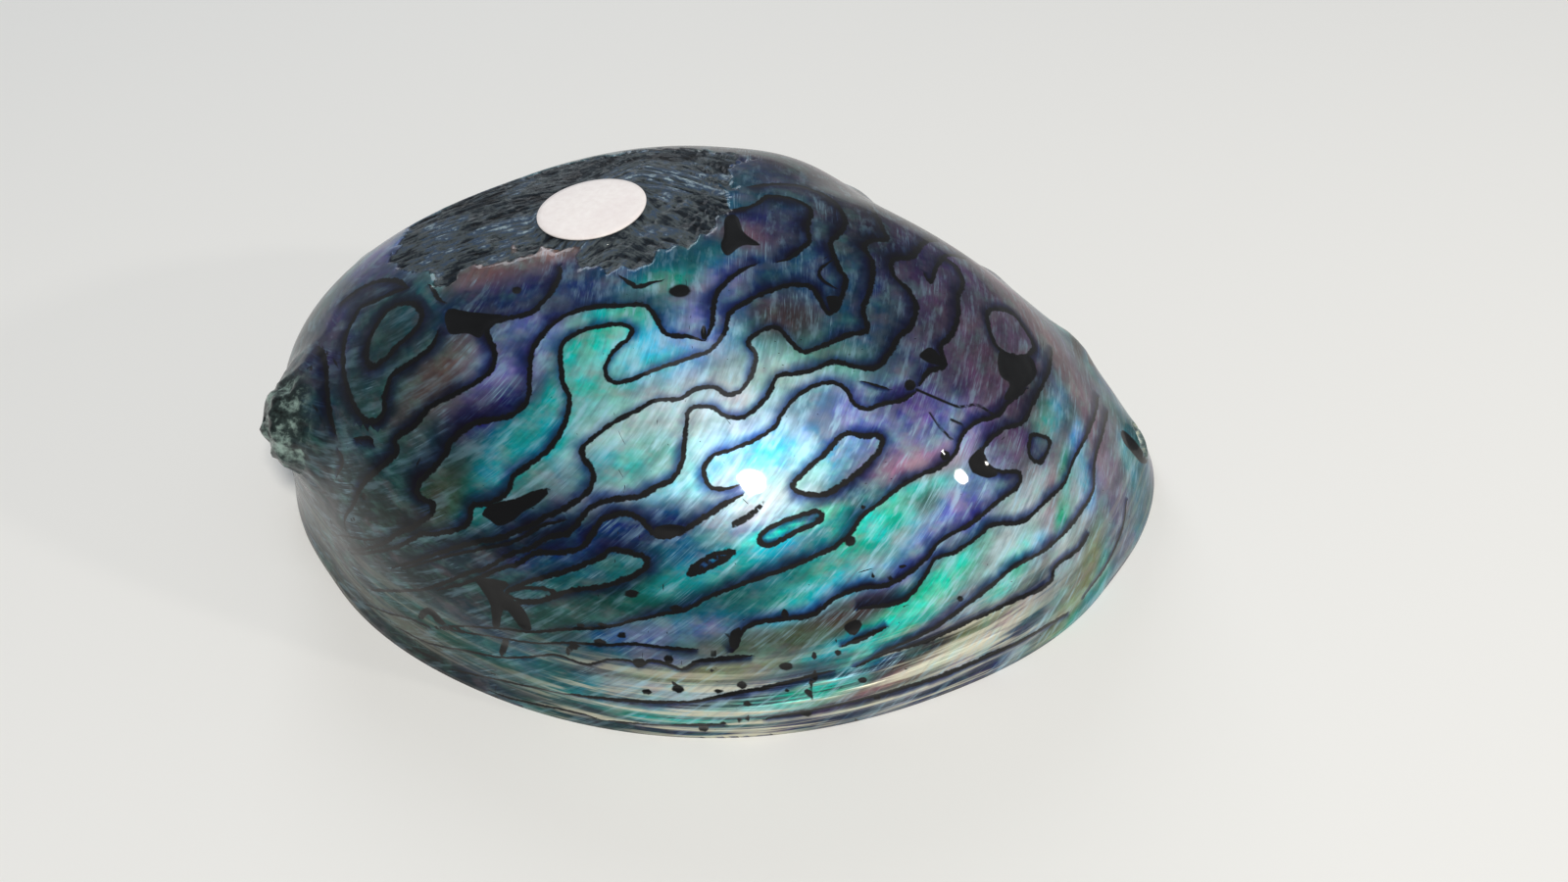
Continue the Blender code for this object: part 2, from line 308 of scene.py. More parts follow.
column_angle = np.arange(COLUMNS) * math.tau / COLUMNS
outside = smooth_outside + outside_normal * ridge_relief(smooth_outside, column_angle)[..., None]
outside = outside + SPIRE_AXIS * spire_rise(smooth_outside)[..., None]
print("spire stands out to x =", round(float(outside[..., 0].min()), 2))

# %% [markdown]
# ## The inside and the lip
#
# The wall is thin at the lip, thick under the spire, and on the pore side it turns inwards as a
# flat ledge. The inside is the same dome moved inwards by the wall's thickness there, so the solid
# closes by running down the outside, round the lip and back up the inside.

# %% Inside grid and rounded lip
WALL, LIP_WALL, LIP_WIDTH, SPIRE_WALL = 2.3, 1.2, 9.0, 7.0
LEDGE, LEDGE_HEIGHT, LEDGE_CENTRE, LEDGE_SPREAD = 9.0, 9.0, 105, 85
LIP_STEPS = 3
LIP_ROUND = 0.45


def wall_thickness(points, angle, from_rim):
    """Wall of the dome, thinned towards the lip and thickened at the ledge and behind the spire."""
    ledge = np.exp(-((points[..., 2] / LEDGE_HEIGHT) ** 2))
    ledge = ledge * window(angle, LEDGE_CENTRE, LEDGE_SPREAD)[:, None]
    spire = np.exp(-((np.linalg.norm(points - SPIRE, axis=-1) / SPIRE_SPREAD) ** 2))
    plain = LIP_WALL + (WALL - LIP_WALL) * ease(from_rim, 0, LIP_WIDTH)
    return plain + (LEDGE - plain) * ledge + (SPIRE_WALL - plain) * spire * (1 - ledge)


inner_base, inner_to_rim = dome(COLUMNS, INNER_ROWS)
inner_normal = grid_normals(inner_base)
inside = inner_base - inner_normal * wall_thickness(inner_base, column_angle, inner_to_rim)[..., None]
inside[..., 2] = np.maximum(inside[..., 2], 0.0)
inside_pole = np.array([CREST[0], CREST[1], HEIGHT - WALL])

outer_edge, inner_edge = outside[:, -1], inside[:, -1]
edge_turn = (np.arange(LIP_STEPS) + 1) / (LIP_STEPS + 1) * math.pi
edge_down = outside[:, -1] - outside[:, -2]
edge_down /= np.linalg.norm(edge_down, axis=1, keepdims=True)
edge_middle, edge_half = (outer_edge + inner_edge)[:, None] / 2, (outer_edge - inner_edge)[:, None] / 2
lip = edge_middle + edge_half * np.cos(edge_turn)[:, None]
lip = lip + LIP_ROUND * edge_down[:, None] * np.sin(edge_turn)[:, None]
lip[..., 2] = np.maximum(lip[..., 2], 0.0)
lip_wall = np.linalg.norm(outer_edge - inner_edge, axis=1)
print("lip thickness from", *np.round(np.percentile(lip_wall, [1, 99]), 2))


# %% Turn rings of points into one closed mesh
def closed_mesh(name, top, rings, bottom, slots):
    """Mesh of a top pole, rings of points (columns by rows) and a bottom pole.

    Quads join each ring to the next, triangles join the poles, and slots gives each row of faces
    its material. Points come in millimetres.
    """
    columns, rows = rings.shape[:2]
    points = np.concatenate([[top], rings.transpose(1, 0, 2).reshape(-1, 3), [bottom]]) * MM
    here = 1 + np.arange(columns)
    after = 1 + (np.arange(columns) + 1) % columns
    start = np.arange(rows - 1)[:, None] * columns
    quads = np.stack([here + start, here + start + columns, after + start + columns, after + start], axis=2)
    end = (rows - 1) * columns
    first = np.stack([np.zeros(columns, int), here, after], axis=1)
    last = np.stack([here + end, np.full(columns, len(points) - 1), after + end], axis=1)
    mesh = bpy.data.meshes.new(name)
    mesh.from_pydata(points, [], first.tolist() + quads.reshape(-1, 4).tolist() + last.tolist())
    mesh.polygons.foreach_set("material_index", np.repeat(slots, columns).astype(np.int32))
    mesh.shade_smooth()
    mesh.update()
    return mesh


def add_piece(name, mesh):
    """An object at the origin that shows a mesh."""
    piece = bpy.data.objects.new(name, mesh)
    bpy.context.scene.collection.objects.link(piece)
    return piece


# %% [markdown]
# ## Placing marks by the picture
#
# The grown pattern is what makes this shell itself, so its fold lines are traced as short lists of
# pixels. A ray from the camera carries each traced point onto the surface. From then on the mark lies
# on the shell in three dimensions and looks right from any side.

# %% Cast traced pixels onto the surface
SHELL_MIDDLE = np.array([740.0, 440.0])
TRACE_STEP = 4.0
NUDGE = 2.0

rows_of_points = outside.transpose(1, 0, 2).reshape(-1, 3)
ring = np.arange(COLUMNS)
ring_after = (ring + 1) % COLUMNS
ring_start = np.arange(ROWS - 1)[:, None] * COLUMNS
surface_quads = np.stack([
    ring + ring_start, ring + ring_start + COLUMNS, ring_after + ring_start + COLUMNS, ring_after + ring_start
], axis=2).reshape(-1, 4)
cap = [list(map(int, ring))]
surface = BVHTree.FromPolygons(rows_of_points.tolist(), surface_quads.tolist() + cap)


def cast(pixels):
    """Where the rays through pixels first meet the surface, and its normals there.

    A ray that just misses the outline is moved towards the middle of the shell until it meets it.
    """
    found = []
    for pixel in np.asarray(pixels, float):
        inward = (SHELL_MIDDLE - pixel) / np.linalg.norm(SHELL_MIDDLE - pixel)
        place = None
        while place is None:
            place, normal, _, _ = surface.ray_cast(Vector(camera_place), Vector(ray_directions([pixel])[0]))
            pixel = pixel + NUDGE * inward
        found.append((*place, *normal))
    found = np.array(found)
    return found[:, :3], found[:, 3:]


def to_pixels(points):
    """Pixels at which the camera sees points."""
    away = points - camera_place
    depth = away @ view_forward
    offset = np.stack([away @ view_right, -(away @ view_up)], axis=-1) / depth[..., None]
    return offset * FOCAL_PIXELS + PHOTO_SIZE / 2


def smooth_trace(text, closed=False):
    """A Catmull-Rom curve through traced pixels, with a point every few pixels."""
    knots = np.array(text.split(), float).reshape(-1, 2)
    if closed:
        padded = np.concatenate([knots[-1:], knots, knots[:2]])
    else:
        padded = np.concatenate([2 * knots[:1] - knots[1:2], knots, 2 * knots[-1:] - knots[-2:-1]])
    curve = []
    for before, here, after, beyond in zip(padded, padded[1:], padded[2:], padded[3:]):
        part = np.linspace(0, 1, 1 + math.ceil(np.linalg.norm(after - here) / TRACE_STEP))[:-1, None]
        curve.append(0.5 * (
            2 * here
            + (after - before) * part
            + (2 * before - 5 * here + 4 * after - beyond) * part**2
            + (3 * here - before - 3 * after + beyond) * part**3
        ))
    curve = np.concatenate(curve)
    return np.concatenate([curve, knots[:1] if closed else knots[-1:]])


print("a ray through the crest's pixel lands at", np.round(cast([[700, 200]])[0][0], 1))

# %% [markdown]
# ## Fold lines
#
# As it grew, the shell laid dark skins between its bright layers. Polishing cuts through them, and
# each skin shows as a crisp dark line with a smoky blue shade on the side where it dips under the
# nacre. The lines are traced so that the shade lies to the right of the way they are walked. Each
# has a core width and the reach of its shade in millimetres.

# %% Traced folds
FOLDS = []


def fold(text, core=0.95, shade=3.8, closed=False):
    """Note a line: its pixels, its core width and shade reach in millimetres, and whether it closes."""
    FOLDS.append((text, core, shade, closed))


fold("416 294 400 299 384 307 368 314 361 326 354 340 350 362 352 384 359 408 371 427 385 429 392 419 "
     "392 406 399 384 412 374 430 362 441 352 447 338")
fold("348 308 368 294 388 286 407 287 416 294")
fold("325 352 332 370 334 396 336 420 343 444")
fold("362 447 378 447 382 453", 0.65, 2.5)
fold("573 272 571 282 561 300 546 317 536 321 507 328 498 334 497 342 505 359 502 376 485 391 461 404 "
     "438 417 422 435 407 444 403 451 406 461 393 473 378 487 367 500 361 515 352 528 353 543")
fold("718 348 700 343 680 341 670 325 657 312 632 312 606 313 585 319 566 329 553 342 543 357 541 380 "
     "540 403 529 419 511 427 489 430 470 441 457 455 455 463 444 477 430 489 425 502 432 509 443 514 "
     "441 525 423 537 404 546 388 556 368 561 355 560", 1.0, 5.5)
fold("765 190 785 188 805 188 825 192 848 203 861 220 862 231 849 246 849 255 857 275 863 284 859 303 "
     "847 320 837 307 828 293 806 291 782 298 758 310 744 320 739 340 726 357 710 363 686 371 662 380 "
     "640 389 622 389 617 376 626 358 641 345 645 335 630 331 603 335 577 347 572 364 574 388 581 405 "
     "578 426 569 446 554 464 536 477 524 487 519 501 501 513 483 516 479 522 480 530 468 540 441 545 "
     "428 546 408 557 380 564 358 565")
fold("771 270 757 276 743 286 731 300 727 318 727 330 720 347")
fold("885 206 894 219 902 235 905 244 892 245 882 252 890 266 891 280 887 300 881 316 885 332 884 338 "
     "862 343 840 353 821 359 809 352 798 338 790 334 772 340 763 350 771 362 768 378 759 396 744 403 "
     "728 395 709 397 694 407 670 409 650 419 629 430 611 443 594 458 597 469 606 484 601 500 585 514 "
     "563 525 531 541 507 550 488 553 463 559 438 568 400 580")
fold("957 246 944 247 930 262 911 265 912 280 926 295 935 311 931 331 918 344 906 362 894 375 873 374 "
     "852 369 832 376 811 381 794 384 785 400 773 415 755 426 736 422 728 415 705 417 701 434 698 456 "
     "695 474 686 489 669 497 650 507 624 510 606 516 591 532 579 544 560 548 541 560 518 567 499 579 "
     "478 585 455 594 430 602 396 603 378 602")
fold("935 400 921 408 902 412 884 418 871 411 863 397 848 390 828 395 811 406 799 421 789 437 771 448 "
     "749 458 728 465 718 480 726 497 744 498 753 495", 0.75, 3.5)
fold("758 505 738 516 711 533 694 543 672 547 661 538 649 528 633 524 615 530 604 545 592 560 571 564 "
     "550 564 530 575 507 582 476 595 446 602")
fold("878 388 894 393 908 397", 0.5, 1.5)
fold("577 531 552 537 526 552 492 560 455 568 410 581", 0.6, 2.0)
fold("962 262 976 272 983 290 978 303 978 323 971 342 960 355 964 373 948 379 938 393")
fold("987 264 966 261 955 275 950 289 942 279", 0.75, 3.0)
fold("1074 357 1070 380 1055 410 1044 431 1024 438 1004 457 1009 475 1024 481 1041 482 1038 497 1020 511 "
     "991 534 959 553 946 569 926 586 905 597 880 600 857 608 840 620 828 628 808 631 780 634 764 639 "
     "755 648 753 658 748 665", 0.7, 3.0)
fold("1048 397 1031 409 1018 424 998 430 982 444 976 461 962 475 942 484 921 495 896 515 879 527 869 543 "
     "855 556 836 566 806 579 775 590 742 602 721 611 700 622 675 627 645 634 620 640 580 642 545 645 "
     "505 641 465 639 440 640 420 632 398 626 372 616", 0.68, 3.0)
fold("1121 405 1117 425 1106 450 1095 471 1086 493 1071 508 1044 532 1014 535 998 548 972 565 955 570 "
     "944 588 926 610 907 617 882 620 875 622", 0.66, 2.6)
fold("1131 420 1124 446 1117 472 1115 502 1096 532 1078 552 1059 566 1034 579 1008 601 980 622 955 640 "
     "932 652 905 664 885 675 872 681", 0.66, 2.6)
fold("1111 546 1100 561 1077 578 1073 593 1056 604 1036 612 1012 624 985 636 955 650 925 661 900 668 878 "
     "679", 0.7, 2.2)
fold("386 550 376 551 364 549 345 546", 0.75, 2.0)
fold("345 458 350 470 343 488", 0.65, 2.0)
fold("437 640 465 644 505 650 545 656 585 656 620 658 650 657 680 661 710 663", 0.6, 1.5)
fold("405 640 437 656 475 664 505 670 535 671 565 668 590 676 603 678 622 673 645 675 652 680 663 674 "
     "682 678 697 683 712 675 738 672 768 669", 0.65, 1.8)
fold("460 683 505 693 548 702 575 708 620 713 660 716 705 716 742 709 788 700 825 690 850 684", 0.65, 1.8)
fold("500 705 530 715 575 724 602 731 611 735", 0.6, 1.0)
fold("620 735 660 739 700 740 740 739", 0.6, 1.5)
fold("780 733 830 724 875 714 920 702 965 688 1010 668 1040 655 1090 625", 0.8, 2.0)
fold("905 640 882 650 858 660", 1.0, 2.0)
fold("420 660 440 671 450 675", 1.1, 0.5)
fold("741 214 757 213 773 207 784 200 806 202 824 210 828 217 824 231"
     " 826 246 815 256 803 265 793 267", 0.8, 4.0)
fold("712 176 728 190 738 207 741 214", 0.75, 1.0)
fold("632 281 649 292 666 288 676 286", 0.85, 0.8)
fold("438 290 448 305 455 309", 0.8, 1.0)
fold("850 265 837 275 838 285 855 295", 0.6, 1.0)
fold("1150 510 1145 540 1130 575 1105 610", 0.6, 1.5)

# Closed lenses, walked so that the shade lies outside them.
fold("397 316 386 329 377 347 374 364 380 374 393 366 406 352 422 338"
     " 430 323 424 311 410 310", 0.95, 4.0, True)
fold("809 497 823 504 843 504 860 494 882 477 899 456 898 444 881 445"
     " 866 442 853 450 843 462 820 483", 0.85, 3.0, True)
fold("661 572 645 565 625 561 610 571 580 582 548 591 518 603 520 614"
     " 550 614 582 603 620 597 653 583", 0.95, 3.5, True)
fold("517 603 545 600 566 604 555 612 528 612", 0.85, 1.5, True)
fold("1009 318 1010 337 1020 356 1041 364 1055 355 1045 335 1030 318", 0.85, 3.0, True)
fold("775 554 779 543 800 532 834 522 838 530 808 545 788 555", 0.75, 1.6, True)
fold("703 586 710 577 730 565 749 563 738 571 720 581", 0.8, 1.5, True)
fold("1054 443 1071 448 1069 461 1060 472 1050 465 1051 450", 0.8, 1.5, True)
print(len(FOLDS), "traced folds")

# %% Dark pools, pits and cracks
POOLS_OF_INK = [
    "456 316 485 318 515 321 530 322 505 328 497 334 490 345 478 341 458 340",
    "505 512 525 508 545 500 560 497 562 502 548 515 535 522 522 533 508 537 500 531 491 526 496 517",
    "668 538 690 535 705 541 690 547 670 546",
    "740 222 752 220 760 238 776 250 758 251 742 261 735 250 738 240",
    "748 539 746 533 762 523 780 510 783 512 768 529",
    "485 590 520 594 513 604 525 612 535 622 543 643 530 640 515 622 510 640 503 640 500 618 493 604",
    "990 478 988 470 997 458 1003 455 1008 473 1020 483 1008 488 992 482",
    "1019 358 1042 365 1052 364 1058 380 1050 393 1032 408 1024 406 1030 392 1020 383",
    "937 362 950 354 961 365 964 374 946 370",
    "858 640 875 631 880 638 870 650 863 643",
    "426 632 428 624 434 620 442 621 456 638 446 636 438 627 432 632",
    "513 651 520 652 516 668 508 670",
    "581 655 587 657 582 667 576 670",
    "645 672 660 672 656 681 648 681",
    "722 688 726 681 732 680 730 686",
    "831 683 835 692 829 700 830 716 826 716 824 702",
    "843 303 858 303 857 316 849 319",
    "745 645 757 640 753 662 745 660",
    "1143 438 1152 443 1163 455 1172 470 1166 474 1156 464 1147 452",
]
# Pits are drawn black, partly their own dark colour and partly painted shade of their hollows, which are sunk
# far less deep than real holes.
PITS = [
    (694, 297, 12, 7), (527, 296, 5, 4), (316, 376, 3, 4), (371, 507, 3, 4), (360, 530, 3, 3),
    (338, 532, 2, 3), (645, 606, 8, 4), (881, 517, 3, 3), (965, 465, 5, 5), (980, 611, 4, 3),
    (891, 587, 3, 3), (908, 590, 4, 3), (921, 578, 4, 2), (936, 575, 3, 2), (718, 340, 3, 8),
    (592, 639, 5, 3), (615, 638, 6, 3), (612, 656, 7, 4), (635, 648, 6, 3), (588, 660, 5, 3),
    (690, 621, 7, 4), (682, 673, 5, 5), (728, 667, 3, 6), (692, 703, 6, 4), (660, 706, 5, 3),
    (687, 697, 2, 2), (733, 706, 6, 3), (757, 699, 5, 4), (742, 648, 4, 2), (786, 627, 4, 2),
    (801, 627, 4, 4), (800, 622, 3, 2), (763, 718, 5, 3), (718, 743, 5, 4), (738, 738, 4, 2),
    (755, 735, 4, 3), (763, 733, 2, 4), (802, 680, 7, 4), (880, 694, 5, 3), (803, 704, 3, 2),
    (823, 706, 3, 3), (823, 728, 6, 3), (895, 712, 4, 3), (926, 683, 3, 2), (852, 655, 2, 5),
    (855, 666, 4, 3), (831, 669, 3, 4), (503, 688, 3, 2), (1115, 364, 5, 9), (929, 393, 6, 6),
    (867, 552, 6, 6), (719, 220, 5, 3),
]
CRACKS = [
    "934 397 955 406 978 415 996 413 1009 420 1016 425",
    "949 421 960 437 972 449",
    "970 428 983 434",
    "304 398 302 425 301 440",
    "318 410 328 428 331 440",
    "325 350 348 377",
    "423 476 431 467",
]
print(len(POOLS_OF_INK), "ink pools,", len(PITS), "pits,", len(CRACKS), "cracks")

# %% [markdown]
# ## The worn crown
#
# The polisher's wheel spared the old, worm-eaten crown, so a rough scaly patch is left round the
# paper label. It is shaped here as flakes: waves stretched along one direction, sunk a little below
# the polished surface. Its front edge is traced, and it runs on over the crest to the far side.

# %% Worn patch in plan
WORN_FRONT = ("400 268 415 276 440 284 462 286 490 272 512 264 540 258 562 246 580 256 600 270 620 278 "
              "640 276 665 264 690 254 715 238 738 216")
WORN_BACK = [(4, 27), (-4, 31), (-16, 33), (-30, 32), (-45, 28), (-56, 20)]
WORN_SINK, FLAKE_HEIGHT, FLAKE_LENGTH, FLAKE_WIDTH = 0.30, 0.55, 5.0, 0.85
FLAKE_TURN, TURN_START, TURN_END = math.radians(-37), -26.0, -12.0
RAGGED_WAVES = [(0.7, 5.0, 31), (0.4, 2.2, 32)]
FLAKE_WAVES = [(1.0, 2.2, 33), (0.4, 1.1, 34)]
FLAKE_TOP = 1.3

worn_front, _ = cast(smooth_trace(WORN_FRONT))
worn_outline = np.concatenate([worn_front[:, :2], np.array(WORN_BACK, float)])


def inside_outline(points, outline):
    """Even-odd rule: a point is inside if a line from it crosses the outline an odd number of times."""
    x, y = points[:, 0], points[:, 1]
    inside_now = np.zeros(len(points), bool)
    for (x1, y1), (x2, y2) in zip(outline, np.roll(outline, -1, axis=0)):
        crossing = (y1 > y) != (y2 > y)
        inside_now ^= crossing & (x < (x2 - x1) * (y - y1) / (y2 - y1 + 1e-12) + x1)
    return inside_now


def outline_depth(points, outline):
    """Signed distance to a closed outline in the plane, above zero inside it."""
    edge = polyline_distance(points, np.concatenate([outline, outline[:1]]))
    return np.where(inside_outline(points, outline), edge, -edge)


def worn_depth(points):
    """Signed distance into the worn patch in plan, with a ragged edge."""
    ragged = sum(size * waves(points, length, seed) for size, length, seed in RAGGED_WAVES)
    return outline_depth(points[:, :2], worn_outline) + ragged


def strands(points):
    """Coordinates along and across the strands, which swing from level on the left to slanting."""
    swing = FLAKE_TURN * ease(points[:, 0], TURN_START, TURN_END)
    along = points[:, 0] * np.cos(swing) + points[:, 1] * np.sin(swing)
    across = points[:, 1] * np.cos(swing) - points[:, 0] * np.sin(swing)
    return np.stack([along / FLAKE_LENGTH, across / FLAKE_WIDTH, points[:, 2] / FLAKE_LENGTH], axis=1)


def flakes(points):
    """Ridged waves stretched along the strands, from 0 in the cracks to 1 on the scales."""
    stretched = strands(points)
    ridged = sum(size * np.abs(waves(stretched, length, seed)) for size, length, seed in FLAKE_WAVES)
    return np.clip(ridged / FLAKE_TOP, 0, 1)


LABEL = np.array([CREST[0] - 19.2, CREST[1] - 3.2])
LABEL_RADIUS, LABEL_SEAT, SEAT_EDGE = 9.0, 0.2, 1.5
WORN_EDGE, RIM_KEPT = (-0.3, 1.0), 3.0
KNOB_SPREAD, KNOB_LUMPS, LUMP_LENGTH, LUMP_SEED = 9.0, 0.3, 2.6, 35

flat_points = outside.reshape(-1, 3)
flat_normals = grid_normals(outside).reshape(-1, 3)
worn_share = ease(worn_depth(flat_points), *WORN_EDGE)
from_label = np.linalg.norm(flat_points[:, :2] - LABEL, axis=1)
under_label = 1 - ease(from_label, LABEL_RADIUS, LABEL_RADIUS + SEAT_EDGE)
sink = worn_share * (WORN_SINK + FLAKE_HEIGHT * (1 - flakes(flat_points))) * (1 - under_label)
knob = np.exp(-((np.linalg.norm(flat_points - SPIRE, axis=1) / KNOB_SPREAD) ** 2))
sink = sink + knob * KNOB_LUMPS * (0.5 + waves(flat_points, LUMP_LENGTH, LUMP_SEED))
sink = (sink - LABEL_SEAT * under_label) * ease(to_rim.reshape(-1), 0, RIM_KEPT)
print("worn patch covers", int(worn_share.sum()), "points of", len(worn_share))

# %% [markdown]
# ## Distance to the folds
#
# A line under a millimetre wide must stay crisp however close the eye comes. So each point of the
# surface stores how far it is from the nearest fold, counted in half widths of that fold, with a
# sign for the side. The material draws the line where that value is between -1 and 1, an edge that
# stays sharp between the points. Half way between two folds the sign may flip, which would draw a
# false line. So the folds are dealt into three sets, which keeps neighbours apart, and the plain
# distance in millimetres is stored as well and guards the line.

# %% Measure every point against every fold
SHADE_LIMIT = 8.0
FOLD_SETS = 3
CROWD_X, CROWD_Z, CROWD_LOSS = (-35.0, 5.0), (18.0, 34.0), 0.72
FADED_PIXEL, FADED_SIZE, FADED_LOSS = (700, 395), (26.0, 18.0, 14.0), 0.55
LEAST_WIDTH, LEAST_SHADE = 0.45, 0.5
TIP_WIDTH, TIP_LENGTH, TIP_CUT = 0.3, 4.0, 1.5
FAR_FROM_TIP, AT_TIP = 99.0, 0.01
CHUNK = 4000


def measure(points, line, side, closed, core):
    """Distance, side (1 on the shaded one, else -1) and half width of one line for points near it."""
    start, step = line[:-1], np.diff(line, axis=0)
    length = np.linalg.norm(step, axis=1)
    begun = np.concatenate([[0], np.cumsum(length)])
    distance, side_sign, width = [np.empty(len(points)) for _ in range(3)]
    for low in range(0, len(points), CHUNK):
        here = points[low:low + CHUNK]
        away = here[:, None] - start
        share = np.clip((away * step).sum(axis=2) / (length**2), 0, 1)
        offset = away - share[..., None] * step
        squared = (offset**2).sum(axis=2)
        best = squared.argmin(axis=1)
        pick = np.arange(len(here))
        near = np.sqrt(squared[pick, best])
        part = share[pick, best]
        facing = side[best] * (1 - part[:, None]) + side[best + 1] * part[:, None]
        along = begun[best] + part * length[best]
        to_end = np.minimum(along, begun[-1] - along) + FAR_FROM_TIP * closed
        beyond = np.abs((offset[pick, best] * step[best]).sum(axis=1)) / (length[best] * near + 1e-9)
        chunk = slice(low, low + CHUNK)
        distance[chunk] = near * (1 + TIP_CUT * beyond * (to_end < AT_TIP))
        side_sign[chunk] = np.where((offset[pick, best] * facing).sum(axis=1) > 0, 1, -1)
        width[chunk] = core / 2 * np.clip(TIP_WIDTH + to_end / TIP_LENGTH, 0, 1)
    return distance, side_sign, width


def fold_weight(points):
    """Share of its width and shade that a fold keeps: less in the crowd and in the bright middle."""
    crowded = (1 - ease(points[:, 0], *CROWD_X)) * (1 - ease(points[:, 2], *CROWD_Z))
    middle, _ = cast([FADED_PIXEL])
    faded = np.exp(-(((points - middle) / FADED_SIZE) ** 2).sum(axis=1))
    return 1 - CROWD_LOSS * crowded - FADED_LOSS * faded


def fold_fields(points):
    """For each set: signed distance to its nearest fold in half widths, distance in mm, and shade."""
    signed_field, near_field = [np.full((len(points), FOLD_SETS), SHADE_LIMIT) for _ in range(2)]
    shade_field = np.zeros((len(points), FOLD_SETS))
    weight = fold_weight(points)
    for number, (text, core, shade, closed) in enumerate(FOLDS):
        fold_set = number % FOLD_SETS
        line, normal = cast(smooth_trace(text, closed))
        tangent = np.gradient(line, axis=0)
        if closed:
            tangent[0] = tangent[-1] = line[1] - line[-2]
        side = np.cross(tangent, normal)
        side /= np.linalg.norm(side, axis=1, keepdims=True) + 1e-12
        close = (points > line.min(axis=0) - SHADE_LIMIT) & (points < line.max(axis=0) + SHADE_LIMIT)
        close = np.flatnonzero(close.all(axis=1))
        distance, side_sign, width = measure(points[close], line, side, closed, core)
        width = width * (LEAST_WIDTH + (1 - LEAST_WIDTH) * weight[close])
        nearer = distance < near_field[close, fold_set]
        near_field[close[nearer], fold_set] = distance[nearer]
        signed_field[close[nearer], fold_set] = (side_sign * distance / width)[nearer]
        strength = np.clip(1 - distance / (shade * weight[close]), 0, 1)
        strength = strength * (LEAST_SHADE + (1 - LEAST_SHADE) * weight[close])
        shade_field[close[nearer], fold_set] = strength[nearer]
    return signed_field, near_field, shade_field


# %% [markdown]
# ## The side that the picture does not show
#
# On the far side the folds run on down the slope, across the pore row. They are the level lines of
# a growth value that rises along the shell and is stirred by slow waves, so they bend, fork and
# close into lenses as the traced ones do. They fade in where the camera no longer sees the surface.

# %% Growth lines of the far side
FOLD_SPACING, MEANDER = 10.5, 0.95
STIRS = [(1.0, 34, 41), (0.45, 15, 42)]
GROWTH_WAY = np.array([1.0, 0.25, 0.35])
FAR_CORE, FAR_SHADE = 0.8, 3.8
FAR_VARIETY, VARIETY_LENGTH, VARIETY_SEED, VARIETY_RANGE = 0.45, 24, 44, (0.35, 1.9)
SLOPE_STEP, LEAST_SLOPE = 0.05, 0.02
FACING = (0.04, 0.2)


def growth(points):
    """Growth value: distance along the shell in fold spacings, stirred by two sets of waves."""
    stirred = sum(size * waves(points, length, seed) for size, length, seed in STIRS)
    return points @ GROWTH_WAY / FOLD_SPACING + MEANDER * stirred


def far_fields(points, normals):
    """Distance to the level lines of the growth value, by its slope along the surface, and their shade.

    Slow waves make the lines and their shades wider in one place and thinner in the next.
    """
    steps = SLOPE_STEP * np.eye(3)
    slope = np.stack([growth(points + step) - growth(points - step) for step in steps], axis=1)
    slope /= 2 * SLOPE_STEP
    slope -= (slope * normals).sum(axis=1, keepdims=True) * normals
    steepness = np.maximum(np.linalg.norm(slope, axis=1), LEAST_SLOPE)
    value = growth(points)
    distance = (np.round(value) - value) / steepness
    variety = np.clip(1 + FAR_VARIETY * waves(points, VARIETY_LENGTH, VARIETY_SEED), *VARIETY_RANGE)
    return distance, variety, np.clip(1 - np.abs(distance) / (FAR_SHADE * variety), 0, 1)


def seen_by_camera(points, normals):
    """1 where the surface faces the camera well, 0 where it turns away."""
    towards = camera_place - points
    towards /= np.linalg.norm(towards, axis=1, keepdims=True)
    return ease((towards * normals).sum(axis=1), *FACING)


# %% [markdown]
# ## Colours of the nacre
#
# Nacre has no pigment. Its stacked layers play with light, and this species shows sea greens and
# blues with violet, rose and silver clouds. Each cloud is listed with a name for its tint and an oval
# with a middle, a length, a breadth and a tilt. Between the ovals, and on the far side, slow waves
# choose the tint.
# Some clouds are painted light: the pale ones round the main highlight are painted sheen, and the dark green
# ones on the left flank are painted shade with a painted green reflection.

# %% Tints, and clouds of tint, painted sheen and painted shade
TINTS = {
    "ink": (0.03, 0.03, 0.04), "indigo": (0.20, 0.22, 0.38), "slate": (0.33, 0.39, 0.48),
    "slate_green": (0.28, 0.37, 0.38), "violet": (0.36, 0.31, 0.48), "mauve": (0.43, 0.37, 0.44),
    "rose": (0.66, 0.54, 0.58), "peach": (0.52, 0.44, 0.42), "lavender": (0.58, 0.60, 0.74),
    "ice": (0.66, 0.84, 0.92), "mint": (0.52, 0.86, 0.78), "turquoise": (0.24, 0.70, 0.72),
    "teal": (0.13, 0.45, 0.50), "emerald": (0.14, 0.40, 0.36), "deep": (0.07, 0.22, 0.27),
    "silver": (0.74, 0.79, 0.80), "gold": (0.60, 0.62, 0.50), "olive": (0.34, 0.37, 0.30),
    "moss": (0.10, 0.19, 0.16), "umber": (0.30, 0.24, 0.23), "blue": (0.18, 0.32, 0.56),
    "dusk": (0.24, 0.23, 0.30),
}
